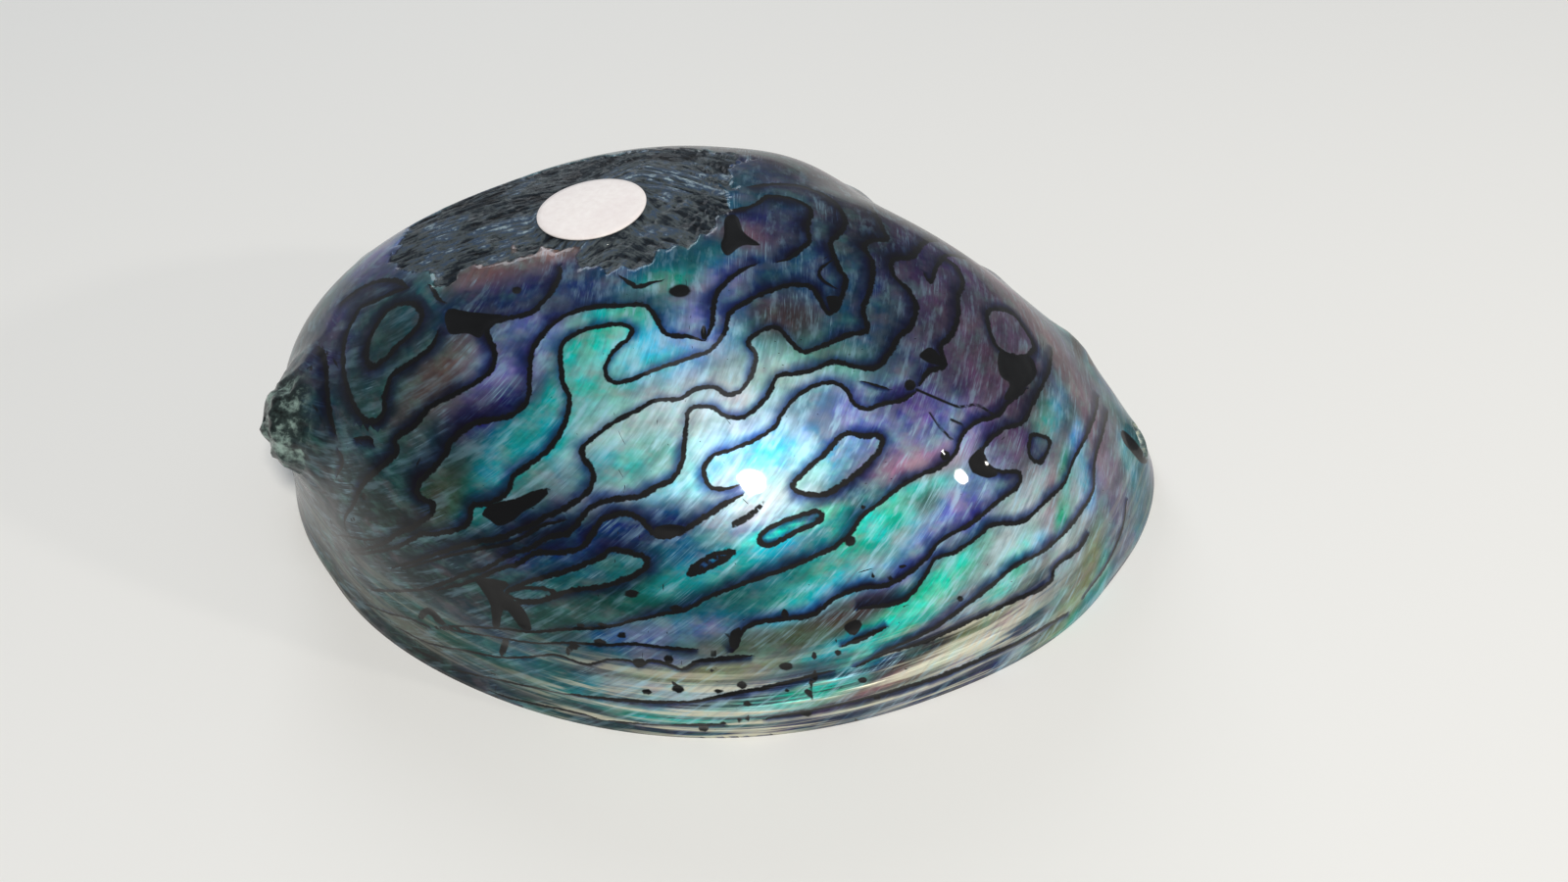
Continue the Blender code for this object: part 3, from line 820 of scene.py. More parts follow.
# Some clouds are painted light, not the nacre's colour. The silver, ice and mint ovals in the middle, round
# the main highlight, are painted sheen. The moss, deep and ink ovals on the left flank and the spire end of
# the lip are painted shade with a painted green reflection. The others are the nacre's own.
CLOUDS_WITH_PAINTED_LIGHT = [
    ("slate_green", 370, 400, 75, 60, 60), ("violet", 345, 335, 32, 18, 40),
    ("peach", 442, 388, 45, 20, 38), ("peach", 530, 262, 50, 16, 12), ("indigo", 500, 305, 60, 16, 8),
    ("lavender", 522, 362, 42, 26, 60), ("indigo", 505, 408, 38, 12, 20),
    ("turquoise", 545, 452, 60, 20, 35), ("mint", 600, 380, 52, 26, 78), ("silver", 597, 425, 30, 18, 70),
    ("ice", 665, 358, 50, 18, 20), ("lavender", 720, 312, 40, 20, 75), ("teal", 690, 268, 44, 14, 25),
    ("mint", 680, 284, 22, 8, 10), ("umber", 806, 320, 22, 14, 20), ("slate", 830, 270, 50, 34, -30),
    ("slate", 600, 290, 60, 16, 5), ("peach", 768, 240, 18, 12, -40), ("violet", 790, 230, 24, 16, -30),
    ("silver", 690, 440, 100, 32, 22), ("turquoise", 640, 470, 44, 14, 15), ("ice", 765, 470, 60, 26, 20),
    ("silver", 770, 500, 40, 18, 10), ("lavender", 860, 425, 56, 22, 10),
    ("slate", 905, 310, 62, 24, -62), ("mauve", 958, 330, 56, 22, -65), ("mauve", 1010, 310, 54, 40, -48),
    ("slate", 770, 178, 50, 14, -8), ("dusk", 850, 190, 50, 16, -20), ("dusk", 900, 240, 50, 22, -45),
    ("violet", 960, 262, 40, 16, -45), ("dusk", 690, 215, 30, 30, 0), ("mint", 1066, 430, 14, 12, 40),
    ("mauve", 1040, 400, 60, 30, -60), ("umber", 1040, 385, 22, 18, 0),
    ("lavender", 955, 440, 44, 22, 20), ("rose", 940, 470, 34, 14, 10), ("violet", 925, 418, 26, 16, 0),
    ("olive", 945, 512, 14, 10, 0), ("mint", 900, 540, 64, 16, 30), ("turquoise", 860, 578, 64, 10, 24),
    ("lavender", 965, 530, 54, 18, 35), ("teal", 780, 600, 110, 16, 20),
    ("turquoise", 720, 585, 60, 9, 22), ("emerald", 600, 622, 110, 18, 8), ("deep", 430, 600, 90, 26, 15),
    ("deep", 470, 562, 90, 16, 18), ("silver", 1050, 530, 46, 18, 42), ("slate", 1085, 600, 46, 12, 42),
    ("mint", 1040, 570, 26, 9, 42), ("silver", 1095, 545, 30, 10, 55), ("rose", 1075, 500, 22, 8, 50),
    ("gold", 1110, 575, 22, 8, 50), ("teal", 1162, 520, 44, 12, 80), ("gold", 740, 690, 60, 8, 6),
    ("slate", 800, 690, 44, 8, 4), ("mint", 810, 716, 50, 7, 8), ("rose", 900, 700, 60, 6, 20),
    ("umber", 930, 672, 44, 5, 24), ("silver", 700, 705, 60, 8, 4), ("turquoise", 880, 652, 44, 7, 18),
    ("umber", 868, 626, 44, 9, 12), ("olive", 800, 650, 60, 10, 5), ("indigo", 790, 741, 120, 6, 2),
    ("ice", 850, 600, 60, 10, 25), ("mint", 930, 620, 60, 12, 35), ("lavender", 690, 640, 60, 10, 10),
    ("teal", 560, 600, 60, 16, 18), ("emerald", 480, 660, 90, 12, -12), ("teal", 580, 700, 90, 8, -8),
    ("indigo", 1010, 675, 60, 6, 32), ("gold", 960, 668, 60, 6, 22), ("silver", 900, 560, 40, 10, 30),
    ("deep", 340, 600, 50, 16, -35), ("emerald", 390, 655, 60, 10, -30), ("ink", 300, 550, 40, 16, -65),
    ("deep", 330, 560, 60, 26, -60), ("deep", 380, 625, 60, 14, -35), ("deep", 460, 692, 70, 8, -16),
    ("moss", 370, 515, 36, 26, 0), ("moss", 370, 515, 36, 26, 0), ("moss", 400, 578, 70, 14, 12),
    ("moss", 400, 578, 70, 14, 12), ("moss", 360, 600, 50, 16, -35), ("moss", 410, 640, 60, 14, -25),
    ("deep", 300, 470, 40, 20, -80), ("ink", 330, 500, 30, 14, -70), ("deep", 560, 715, 60, 6, -8),
    ("silver", 960, 690, 60, 6, 22), ("silver", 650, 722, 60, 5, -4), ("mint", 700, 735, 60, 4, 0),
    ("mint", 806, 539, 30, 5, 20), ("mint", 806, 539, 26, 4, 20), ("turquoise", 728, 573, 16, 4, 25),
    ("umber", 945, 512, 12, 9, 30), ("umber", 945, 512, 9, 7, 30), ("rose", 1010, 262, 40, 12, -45),
    ("umber", 985, 230, 34, 12, -42), ("slate", 1060, 300, 44, 12, -48),
    ("umber", 1100, 345, 30, 10, -50), ("silver", 760, 726, 50, 5, 2), ("peach", 850, 712, 60, 4, 8),
    ("rose", 1000, 660, 50, 6, 32), ("gold", 1090, 605, 30, 8, 48), ("silver", 1060, 640, 40, 5, 42),
    ("ice", 1075, 425, 12, 9, 40), ("ice", 1098, 452, 9, 7, 40), ("mint", 1085, 478, 10, 7, 50),
    ("ice", 1108, 498, 9, 7, 60), ("mint", 1085, 522, 10, 7, 50), ("ice", 1058, 555, 12, 6, 45),
    ("silver", 1100, 560, 12, 7, 50), ("ice", 1150, 468, 12, 6, -50), ("violet", 1060, 455, 14, 12, 0),
    ("olive", 450, 510, 26, 16, 40), ("slate_green", 400, 340, 24, 24, 50),
    ("indigo", 650, 540, 50, 12, 20), ("blue", 590, 555, 60, 10, 20), ("slate", 560, 510, 40, 18, 30),
]
CLOUD_DEPTH, CLOUD_SHARPNESS, CLOUD_STEP, FAR_SHARE = 22.0, 0.9, 5.0, 0.05
FAR_NAMES = ["teal", "slate", "violet", "emerald", "turquoise",
             "mauve", "mint", "lavender", "silver", "indigo"]
FAR_CONTRAST, FAR_LENGTH, FAR_SEED = 2.2, 30, 50


def linear(colour):
    """Display values turned into light values by the usual 2.2 power."""
    return np.asarray(colour, float) ** 2.2


def far_tint(points):
    """Tints of the unseen side: slow waves weigh dark, middle and bright tints against each other."""
    seeds = FAR_SEED + np.arange(len(FAR_NAMES))
    weights = np.stack([np.exp(FAR_CONTRAST * waves(points, FAR_LENGTH, seed)) for seed in seeds], axis=1)
    weights /= weights.sum(axis=1, keepdims=True)
    return weights @ np.array([linear(TINTS[name]) for name in FAR_NAMES])


def tints_with_painted_light(points):
    """Mean of the clouds' colours, painted sheen and shade among them, each weighed by a bell curve over its
    oval.
    """
    total = np.full(len(points), FAR_SHARE)
    mixed = far_tint(points) * total[:, None]
    for name, x, y, length, breadth, tilt in CLOUDS_WITH_PAINTED_LIGHT:
        way = np.array([math.cos(math.radians(tilt)), -math.sin(math.radians(tilt))])
        other = np.array([way[1], -way[0]])
        centre = np.array([x, y], float)
        places, normals = cast([centre, centre + CLOUD_STEP * way, centre + CLOUD_STEP * other])
        axes = (places[1:] - places[0]) * (np.array([length, breadth]) / CLOUD_STEP)[:, None]
        away = points - places[0]
        along, across = [away @ axis / (axis @ axis) for axis in axes]
        deep = away @ normals[0] / CLOUD_DEPTH
        weight = np.exp(-(along**2 + across**2 + deep**2) * CLOUD_SHARPNESS)
        mixed += weight[:, None] * linear(TINTS[name])
        total += weight
    return mixed / total[:, None]


# %% [markdown]
# ## Ink pools, pits and cracks
#
# Where the dark skin lies at the surface it shows as a black pool, and small borers left pits, drawn
# black too: partly their own dark colour and partly painted shade of their hollows. Both are kept as
# one signed distance, so their edges stay crisp like the folds, and the same value sinks them a little
# into the surface.

# %% Fields of the pools, pits and cracks
NO_INK, INK_FACING, INK_REACH, INK_SCALE, PIT_EDGE = -3.0, 0.3, 20, 4, 1.1
NO_CRACK, CRACK_REACH = 9.0, 3


def ink_field(points, normals):
    """Above zero inside pools and pits: a scaled signed distance, and PIT_EDGE - distance / radius."""
    field = np.full(len(points), NO_INK)
    pixels = to_pixels(points)
    facing = seen_by_camera(points, normals) > INK_FACING
    for text in POOLS_OF_INK:
        outline = smooth_trace(text, closed=True)[:-1]
        low, high = outline.min(axis=0) - INK_REACH, outline.max(axis=0) + INK_REACH
        close = facing & ((pixels > low) & (pixels < high)).all(axis=1)
        field[close] = np.maximum(field[close], outline_depth(pixels[close], outline) / INK_SCALE)
    for x, y, wide, tall in PITS:
        away = (pixels - (x, y)) / (wide, tall)
        field = np.maximum(field, np.where(facing, PIT_EDGE - np.linalg.norm(away, axis=1), NO_INK))
    return np.clip(field, NO_INK, 1)


def crack_field(points):
    """Distance to the nearest crack in millimetres."""
    best = np.full(len(points), NO_CRACK)
    for text in CRACKS:
        line, _ = cast(smooth_trace(text))
        low, high = line.min(axis=0) - CRACK_REACH, line.max(axis=0) + CRACK_REACH
        close = ((points > low) & (points < high)).all(axis=1)
        best[close] = np.minimum(best[close], polyline_distance(points[close], line))
    return best


print("ink reaches", int((ink_field(flat_points, flat_normals) > 0).sum()), "points of", len(flat_points))

# %% Sink pits and folds, and close the solid
PIT_DEPTH, PIT_SLOPE = 0.12, (-0.2, 0.8)
FOLD_GROOVE, GROOVE_WIDTH = 0.015, 0.6

_, near, _ = fold_fields(flat_points)
near = near.min(axis=1)
ink = ink_field(flat_points, flat_normals)
sink = sink + PIT_DEPTH * ease(ink, *PIT_SLOPE) + FOLD_GROOVE * np.exp(-((near / GROOVE_WIDTH) ** 2))
fine_outside = (flat_points - flat_normals * sink[:, None]).reshape(COLUMNS, ROWS, 3)
fine_outside[..., 2] = np.maximum(fine_outside[..., 2], 0)

rings = np.concatenate([fine_outside, lip, inside[:, ::-1]], axis=1)
OUTSIDE_SLOT, LIP_SLOT, INSIDE_SLOT = 0, 1, 2
slots = np.array([OUTSIDE_SLOT] * ROWS + [LIP_SLOT] * (LIP_STEPS + 1) + [INSIDE_SLOT] * INNER_ROWS)
shell_mesh = closed_mesh("paua_shell", [CREST[0], CREST[1], HEIGHT - WORN_SINK], rings, inside_pole, slots)
shell = add_piece("paua_shell", shell_mesh)
print("shell mesh:", len(shell_mesh.polygons), "faces before the pores")

# %% [markdown]
# ## Open pores
#
# The snail breathes through a row of holes, and only the newest stay open. Each is cut right
# through the wall by an oval rod, so light and shadow pass as in the real shell.

# %% Cut the open pores
ROD_SIDES, ROD_LENGTH = 40, 24.0


def pore_rod(degrees, height, half_length, half_width):
    """Rings of an oval rod along the wall's normal, its long side along the pore row."""
    centre = dome_at_height(degrees, height)
    outwards = np.cross(dome_at_height(degrees + 1, height) - dome_at_height(degrees - 1, height),
                        dome_at_height(degrees, height * 1.02) - dome_at_height(degrees, height * 0.98))
    outwards /= np.linalg.norm(outwards)
    nearest = pore_row[np.argsort(np.linalg.norm(pore_row - centre, axis=1))[:2]]
    along = nearest[1] - nearest[0]
    along -= (along @ outwards) * outwards
    along /= np.linalg.norm(along)
    across = np.cross(outwards, along)
    turn = np.arange(ROD_SIDES) * math.tau / ROD_SIDES
    oval = np.outer(np.cos(turn) * half_length, along) + np.outer(np.sin(turn) * half_width, across)
    ends = np.array([ROD_LENGTH / 2, -ROD_LENGTH / 2])
    rod_rings = centre + oval[:, None] + outwards * ends[:, None]
    return centre + outwards * ends[0], rod_rings, centre + outwards * ends[1]


PORE_SLOT = 3
for number, pore in enumerate(OPEN_PORES):
    top, rod_rings, bottom = pore_rod(*pore)
    rod = add_piece(f"rod_{number}", closed_mesh("rod", top, rod_rings, bottom, [PORE_SLOT] * 3))
    cut = shell.modifiers.new(rod.name, "BOOLEAN")
    cut.operation = "DIFFERENCE"
    cut.solver = "EXACT"
    cut.object = rod
depsgraph = bpy.context.evaluated_depsgraph_get()
cut_mesh = bpy.data.meshes.new_from_object(shell.evaluated_get(depsgraph))
shell.modifiers.clear()
shell.data = cut_mesh
for number in range(len(OPEN_PORES)):
    bpy.data.objects.remove(bpy.data.objects[f"rod_{number}"])
print("shell mesh:", len(shell.data.polygons), "faces with the pores")

# %% [markdown]
# ## Values stored on the surface
#
# The cut added points, so the values that the material needs are worked out again for every point
# of the finished mesh: fold distance, shade, ink, wear, tint with its painted sheen and painted shade,
# the way of the fibres, and the place of the pale bands that lie along the growing rim.

# %% Read the points, store values and place the bands
def points_of(mesh):
    """Points in millimetres and normals of a mesh, as two arrays."""
    places, normals = [np.empty(len(mesh.vertices) * 3, np.float32) for _ in range(2)]
    mesh.vertices.foreach_get("co", places)
    mesh.vertices.foreach_get("normal", normals)
    return places.reshape(-1, 3).astype(float) / MM, normals.reshape(-1, 3).astype(float)


def store(mesh, name, values):
    """Keep one number, vector or colour per point under a name that materials can read."""
    kinds = {1: ("FLOAT", "value"), 3: ("FLOAT_VECTOR", "vector"), 4: ("FLOAT_COLOR", "color")}
    kind, field = kinds[1 if values.ndim == 1 else values.shape[1]]
    layer = mesh.attributes.new(name, kind, "POINT")
    layer.data.foreach_set(field, values.astype(np.float32).ravel())


BAND_RADIUS = 60.0
BAND_LEAST, BAND_START, BAND_END = 0.15, (-34.0, -12.0), (40.0, 62.0)
BAND_FAR, BAND_BEHIND = 0.45, (0.0, 25.0)


def bands(points):
    """Way round the crest in millimetres, height, and the share of the pale bands.

    The share is full at the middle of the front, less at both ends and behind.
    """
    x, y, z = points.T
    angle = np.arctan2(y - CREST[1], x - CREST[0])
    front = BAND_LEAST + (1 - BAND_LEAST) * ease(x, *BAND_START) * (1 - ease(x, *BAND_END))
    behind = ease(y, *BAND_BEHIND)
    return np.stack([angle * BAND_RADIUS, z, front * (1 - behind) + BAND_FAR * behind], axis=1)


# %% Work them out and store them
FIBRE_TURN, FIBRE_START = 0.016, 27.0
LEAST_HIDDEN, WORN_BLEND, KNOB_BLEND = 0.05, (-0.3, 0.8), 8.5

places, normals = points_of(shell.data)
signed, near, shade = fold_fields(places)
far_distance, far_variety, far_shade = far_fields(places, normals)
hidden = 1 - seen_by_camera(places, normals)
shown = np.maximum(hidden, LEAST_HIDDEN)
from_crest = np.linalg.norm(places - np.array([*CREST, HEIGHT]), axis=1)
fibre_across = places[:, 0] + FIBRE_TURN * np.clip(from_crest - FIBRE_START, 0, None) ** 2

for name, values in {
    "fold_signed": np.clip(signed, -SHADE_LIMIT, SHADE_LIMIT),
    "fold_near": np.clip(near, 0, SHADE_LIMIT),
    "fold_shade": shade,
    "far_signed": np.clip(far_distance / (FAR_CORE / 2 * far_variety * shown), -SHADE_LIMIT, SHADE_LIMIT),
    "far_near": np.clip(np.abs(far_distance) / shown, 0, SHADE_LIMIT),
    "far_shade": far_shade * hidden,
    "band": bands(places),
    "ink": ink_field(places, normals),
    "crack": crack_field(places),
    "worn": ease(worn_depth(places), *WORN_BLEND) * (normals[:, 2] > 0),
    "scale": flakes(places),
    "strand": strands(places),
    "knob": np.exp(-((np.linalg.norm(places - SPIRE, axis=1) / KNOB_BLEND) ** 2)),
    "fibre": np.stack([fibre_across, places[:, 1], places[:, 2]], axis=1),
    "tint": np.concatenate([tints_with_painted_light(places), np.ones((len(places), 1))], axis=1),
}.items():
    store(shell.data, name, values)
print("stored values on", len(places), "points")


# %% [markdown]
# ## Finishes
#
# A small bench of helpers keeps the node trees readable: it adds a node, plugs in values or other
# nodes, and hands back the output.

# %% Node bench
class Bench:
    """A material and short ways to add nodes to it; each way hands back the node's output."""

    def __init__(self, name):
        self.material = bpy.data.materials.new(name)
        self.material.use_nodes = True
        self.tree = self.material.node_tree
        self.shader = self.tree.nodes["Principled BSDF"]

    def plug(self, socket, value):
        if isinstance(value, bpy.types.NodeSocket):
            self.tree.links.new(value, socket)
        else:
            socket.default_value = value

    def add(self, kind, inputs, output=0, **settings):
        made = self.tree.nodes.new("ShaderNode" + kind)
        for key, value in settings.items():
            setattr(made, key, value)
        for place, value in inputs.items():
            self.plug(made.inputs[place], value)
        return made.outputs[output]

    def attribute(self, name, output="Fac"):
        return self.add("Attribute", {}, output, attribute_name=name)

    def math(self, operation, a, b=0.0):
        return self.add("Math", {0: a, 1: b}, operation=operation)

    def ease(self, value, low, high, start=0.0, end=1.0):
        inputs = {"Value": value, "From Min": low, "From Max": high, "To Min": start, "To Max": end}
        return self.add("MapRange", inputs, interpolation_type="SMOOTHSTEP")

    def noise(self, vector, scale, detail=3.0, roughness=0.55, output=0):
        inputs = {"Vector": vector, "Scale": scale, "Detail": detail, "Roughness": roughness}
        return self.add("TexNoise", inputs, output)

    def stretch(self, vector, scale):
        return self.add("Mapping", {"Vector": vector, "Scale": scale})

    def mix(self, factor, a, b, blend="MIX"):
        return self.add("Mix", {0: factor, 6: a, 7: b}, 2, data_type="RGBA", blend_type=blend)

    def ramp(self, factor, stops):
        made = self.tree.nodes.new("ShaderNodeValToRGB")
        for number, (place, colour) in enumerate(stops):
            element = made.color_ramp.elements[number] if number < 2 else made.color_ramp.elements.new(place)
            element.position = place
            element.color = (*linear(colour), 1)
        self.plug(made.inputs[0], factor)
        return made.outputs[0]

    def bump(self, height, distance, strength=1.0, normal=None):
        inputs = {"Height": height, "Distance": distance, "Strength": strength}
        if normal is not None:
            inputs["Normal"] = normal
        return self.add("Bump", inputs)

    def finish(self, **values):
        for name, value in values.items():
            self.plug(self.shader.inputs[name.replace("_", " ")], value)
        return self.material


def rgba(colour):
    """A named tint or three display values, as light values with an alpha of 1."""
    return (*linear(TINTS.get(colour, colour)), 1)


# %% [markdown]
# ### Polished nacre outside
#
# The tint is streaked by fine fibres, clouded by slow colour shifts, banded along the rim and
# flecked with mint, rose and ice, more so where it is bright. Each fold multiplies it by blue and
# violet before it goes dark, so the streaks show through the shade as they do under the polish.

# %% Tint, streaks, bands and flecks
TINT_GAMMA = 1.3
STREAKS, FINE_STREAKS, SPECKS = (1.5, 0.10, 0.10), (3.6, 0.22, 0.22), (0.6, 0.2, 0.2)
PATCHES, GLINTS, BANDS = (130, 130, 320), (190, 190, 420), (0.03, 0.7, 1)
CLOUD_RATE, SMALL_CLOUD_RATE = 75.0, 260.0
BAND_HEIGHTS, PALE_BAND, DARK_BAND = (8.0, 19.0), (0.84, 0.83, 0.74), (0.06, 0.13, 0.20)


def tinted_nacre(bench, place):
    """Colour of the nacre without its folds, and the noises that the folds and the bump share."""
    fibres = bench.attribute("fibre", "Vector")
    streak = bench.noise(bench.stretch(fibres, STREAKS), 1.0, 4.0, 0.6)
    fine_streak = bench.noise(bench.stretch(fibres, FINE_STREAKS), 1.0, 2.0)
    speck = bench.noise(bench.stretch(fibres, SPECKS), 1.0, 3.0, 0.6)
    cloud = bench.noise(place, CLOUD_RATE, 3.0)
    small_cloud = bench.noise(place, SMALL_CLOUD_RATE, 2.0)
    patch = bench.noise(bench.stretch(place, PATCHES), 1.0, 3.0, 0.6)
    glint = bench.noise(bench.stretch(place, GLINTS), 1.0, 3.0, 0.6, 1)
    mint_glint, rose_glint = bench.add("SeparateColor", {0: glint}).node.outputs[:2]

    # The stored tint holds painted sheen and painted shade from the clouds besides the nacre's own colours.
    tint = bench.add("Gamma", {"Color": bench.attribute("tint", "Color"), "Gamma": TINT_GAMMA})
    turned = bench.ease(cloud, 0.3, 0.7, 0.455, 0.505)
    lit = bench.ease(streak, 0.32, 0.68, 0.84, 1.14)
    colour = bench.add("HueSaturation", {
        "Hue": bench.math("ADD", turned, bench.ease(patch, 0.35, 0.65, 0.0, 0.04)),
        "Saturation": bench.ease(small_cloud, 0.35, 0.65, 1.05, 1.55),
        "Value": bench.math("MULTIPLY", lit, bench.ease(patch, 0.35, 0.68, 0.72, 1.22)),
        "Color": tint,
    })
    band_place = bench.attribute("band", "Vector")
    band = bench.noise(bench.stretch(band_place, BANDS), 1.0, 3.0, 0.6)
    _, rise, share = bench.add("SeparateXYZ", {0: band_place}).node.outputs
    low = bench.math("MULTIPLY", share, bench.ease(rise, *BAND_HEIGHTS, 1.0, 0.0))
    bright = bench.ease(bench.add("RGBToBW", {0: tint}), 0.05, 0.35, 0.35, 1.0)
    shining = bench.ease(patch, 0.5, 0.68, 0.0, 0.35)
    for strength, part, fleck in (
        (low, bench.ease(band, 0.48, 0.62, 0.0, 0.95), PALE_BAND),
        (low, bench.ease(band, 0.36, 0.47, 0.9, 0.0), DARK_BAND),
        (shining, bench.ease(fine_streak, 0.5, 0.72), "ice"),
        (bright, bench.ease(mint_glint, 0.46, 0.72, 0.0, 0.3), "mint"),
        (bright, bench.ease(rose_glint, 0.48, 0.74, 0.0, 0.34), "rose"),
        (bright, bench.ease(speck, 0.5, 0.7, 0.0, 0.5), "ice"),
        (bright, bench.ease(speck, 0.34, 0.48, 0.3, 0.0), "slate"),
    ):
        colour = bench.mix(bench.math("MULTIPLY", strength, part), colour, rgba(fleck))
    return colour, streak, small_cloud, bench.math("MULTIPLY", band, low)


# %% Folds, ink and cracks over the tint
LINE_EDGE, LINE_GUARD, SIDE_EDGE = (0.75, 1.3), (0.9, 1.3), (-0.4, 0.4)
RAGGED_RATE, INK_EDGE, CRACK_EDGE = 1100.0, (-0.1, 0.25), (0.12, 0.4)
SHADE_VEIL, VEIL_RANGE = (0.42, 0.47, 0.66), (0.1, 0.75)
SHADE_DEPTH, DEPTH_RANGE = (0.07, 0.05, 0.11), (0.62, 1.0)
FOLD_BLACK = (0.0002, 0.0002, 0.0004, 1)


def folded_nacre(bench, place, colour, small_cloud):
    """The tint under the folds' one-sided shades, and how dark each point is: 1 in a line or pool."""
    traced = [bench.add("SeparateXYZ", {0: bench.attribute(name, "Vector")}).node.outputs
              for name in ("fold_signed", "fold_near", "fold_shade")]
    far = [bench.attribute(name) for name in ("far_signed", "far_near", "far_shade")]
    ragged = bench.math("ADD", bench.ease(small_cloud, 0.3, 0.7, -0.25, 0.25),
                        bench.ease(bench.noise(place, RAGGED_RATE, 2.0), 0.3, 0.7, -0.3, 0.3))
    line, shade = 0.0, 0.0
    for side, guard, strength in [*zip(*traced), far]:
        side = bench.math("ADD", side, ragged)
        stroke = bench.ease(bench.math("ABSOLUTE", side), *LINE_EDGE, 1.0, 0.0)
        stroke = bench.math("MULTIPLY", stroke, bench.ease(guard, *LINE_GUARD, 1.0, 0.0))
        line = bench.math("MAXIMUM", line, stroke)
        strength = bench.math("MULTIPLY", strength, bench.ease(side, *SIDE_EDGE))
        shade = bench.math("MAXIMUM", shade, strength)
    wobble = bench.ease(small_cloud, 0.3, 0.7, -0.12, 0.12)
    shade = bench.math("ADD", shade, wobble)
    veil = bench.mix(bench.ease(shade, *VEIL_RANGE), (1, 1, 1, 1), rgba(SHADE_VEIL))
    colour = bench.mix(1.0, colour, veil, "MULTIPLY")
    colour = bench.mix(bench.ease(shade, *DEPTH_RANGE), colour, rgba(SHADE_DEPTH))
    pool = bench.ease(bench.math("ADD", bench.attribute("ink"), wobble), *INK_EDGE)
    crack = bench.ease(bench.attribute("crack"), *CRACK_EDGE, 1.0, 0.0)
    dark = bench.math("MAXIMUM", bench.math("MAXIMUM", line, pool), crack)
    return bench.mix(dark, colour, FOLD_BLACK), dark


# %% [markdown]
# ### Worn scales and the whole outside
#
# The scales mix three reliefs: flakes along the strands, the stored scales, and rubble. A ramp
# turns the relief into black cracks, slate sides and pale tops: painted shade in the cracks and a
# painted highlight on the tops, over the slate of the scales. The same relief lifts the bump.
# Over the polished part a clear coat gives the wet gloss, shallow dents break its highlights, and
# the layer below is half metallic and rougher, which spreads the glow round each of them.

# %% Worn scales and the outside material
FLAKE_NOISE, RUBBLE_RATE, LUMP_RATE, DENT_RATE = 1.3, 420.0, 95.0, 120.0
FLAKE_PART, SCALE_PART, RUBBLE_PART = 0.4, 0.15, 0.42
SCALE_SHADE_AND_HIGHLIGHT_STOPS = [(0.32, (0.02, 0.03, 0.04)), (0.44, (0.13, 0.16, 0.19)), (0.52, (0.30, 0.33, 0.34)),
               (0.60, (0.22, 0.29, 0.38)), (0.70, (0.62, 0.70, 0.73))]
KNOB_STOPS = [(0.35, (0.05, 0.06, 0.06)), (0.5, (0.22, 0.27, 0.26)), (0.66, (0.62, 0.72, 0.68))]
STREAK_BUMP, SCALE_BUMP, DENT_BUMP, BAND_BUMP = (0.00003, 0.4), (0.0008, 0.9), (0.0008, 0.35), (0.0012, 0.5)


def worn_scales(bench, place):
    """Relief of the worn crown and the rubble in it."""
    rubble = bench.noise(place, RUBBLE_RATE, 4.0, 0.6)
    relief = bench.ease(bench.noise(place, LUMP_RATE, 3.0), 0.35, 0.65, -0.1, 0.05)
    flaky = bench.noise(bench.attribute("strand", "Vector"), FLAKE_NOISE, 5.0, 0.7)
    scaly = bench.attribute("scale")
    for part, height in ((FLAKE_PART, flaky), (SCALE_PART, scaly), (RUBBLE_PART, rubble)):
        relief = bench.math("ADD", relief, bench.math("MULTIPLY", height, part))
    return relief, rubble


def nacre_outside():
    """Polished nacre with its folds, the worn scales over it, and the rough knob of the spire."""
    bench = Bench("polished_nacre")
    place = bench.add("TexCoord", {}, "Object")
    tinted, streak, small_cloud, ridges = tinted_nacre(bench, place)
    grown, dark = folded_nacre(bench, place, tinted, small_cloud)
    relief, rubble = worn_scales(bench, place)
    worn = bench.ease(bench.attribute("worn"), 0.2, 0.7)
    # The ramp paints the scales darker the lower their relief: painted shade in the cracks, a painted
    # highlight on the tops.
    colour = bench.mix(worn, grown, bench.ramp(relief, SCALE_SHADE_AND_HIGHLIGHT_STOPS))
    colour = bench.mix(bench.ease(bench.attribute("knob"), 0.25, 0.6), colour, bench.ramp(rubble, KNOB_STOPS))

    normal = bench.bump(bench.noise(place, DENT_RATE, 2.0), *DENT_BUMP)
    normal = bench.bump(ridges, *BAND_BUMP, normal)
    height = bench.math("ADD", bench.math("MULTIPLY", streak, 0.6), bench.math("MULTIPLY", dark, -0.2))
    normal = bench.bump(height, *STREAK_BUMP, normal)
    normal = bench.bump(bench.math("MULTIPLY", relief, worn), *SCALE_BUMP, normal)
    return bench.finish(
        Base_Color=colour,
        Metallic=bench.math("MULTIPLY", bench.ease(worn, 0, 1, 0.6, 0.1), bench.ease(dark, 0, 1, 1.0, 0.1)),
        Roughness=bench.ease(worn, 0, 1, 0.47, 0.6),
        Specular_IOR_Level=0.15,
        Coat_Weight=bench.ease(worn, 0, 1, 0.55, 0.15),
        Coat_Roughness=0.05,
        Coat_IOR=1.42,
        Normal=normal,
    )


# %% [markdown]
# ### Inside, lip and pore walls
#
# The hollow is bare nacre in large sea-green and rose swirls, smoother and never cut by polishing,
# so it has no dark folds. The lip and the walls of the pores show the shell's layers edge on, as
# thin pale and dark stripes.

# %% Inner nacre and cut edges
SWIRL_STOPS = [(0.25, (0.16, 0.30, 0.42)), (0.4, (0.22, 0.58, 0.60)), (0.5, (0.56, 0.80, 0.72)),
               (0.6, (0.70, 0.66, 0.76)), (0.72, (0.40, 0.44, 0.66))]
LAYER_STOPS = [(0.3, (0.10, 0.12, 0.13)), (0.5, (0.34, 0.42, 0.42)), (0.7, (0.66, 0.68, 0.60))]
LIP_LAYERS, PORE_LAYERS = (300, 300, 2500), (900, 900, 900)


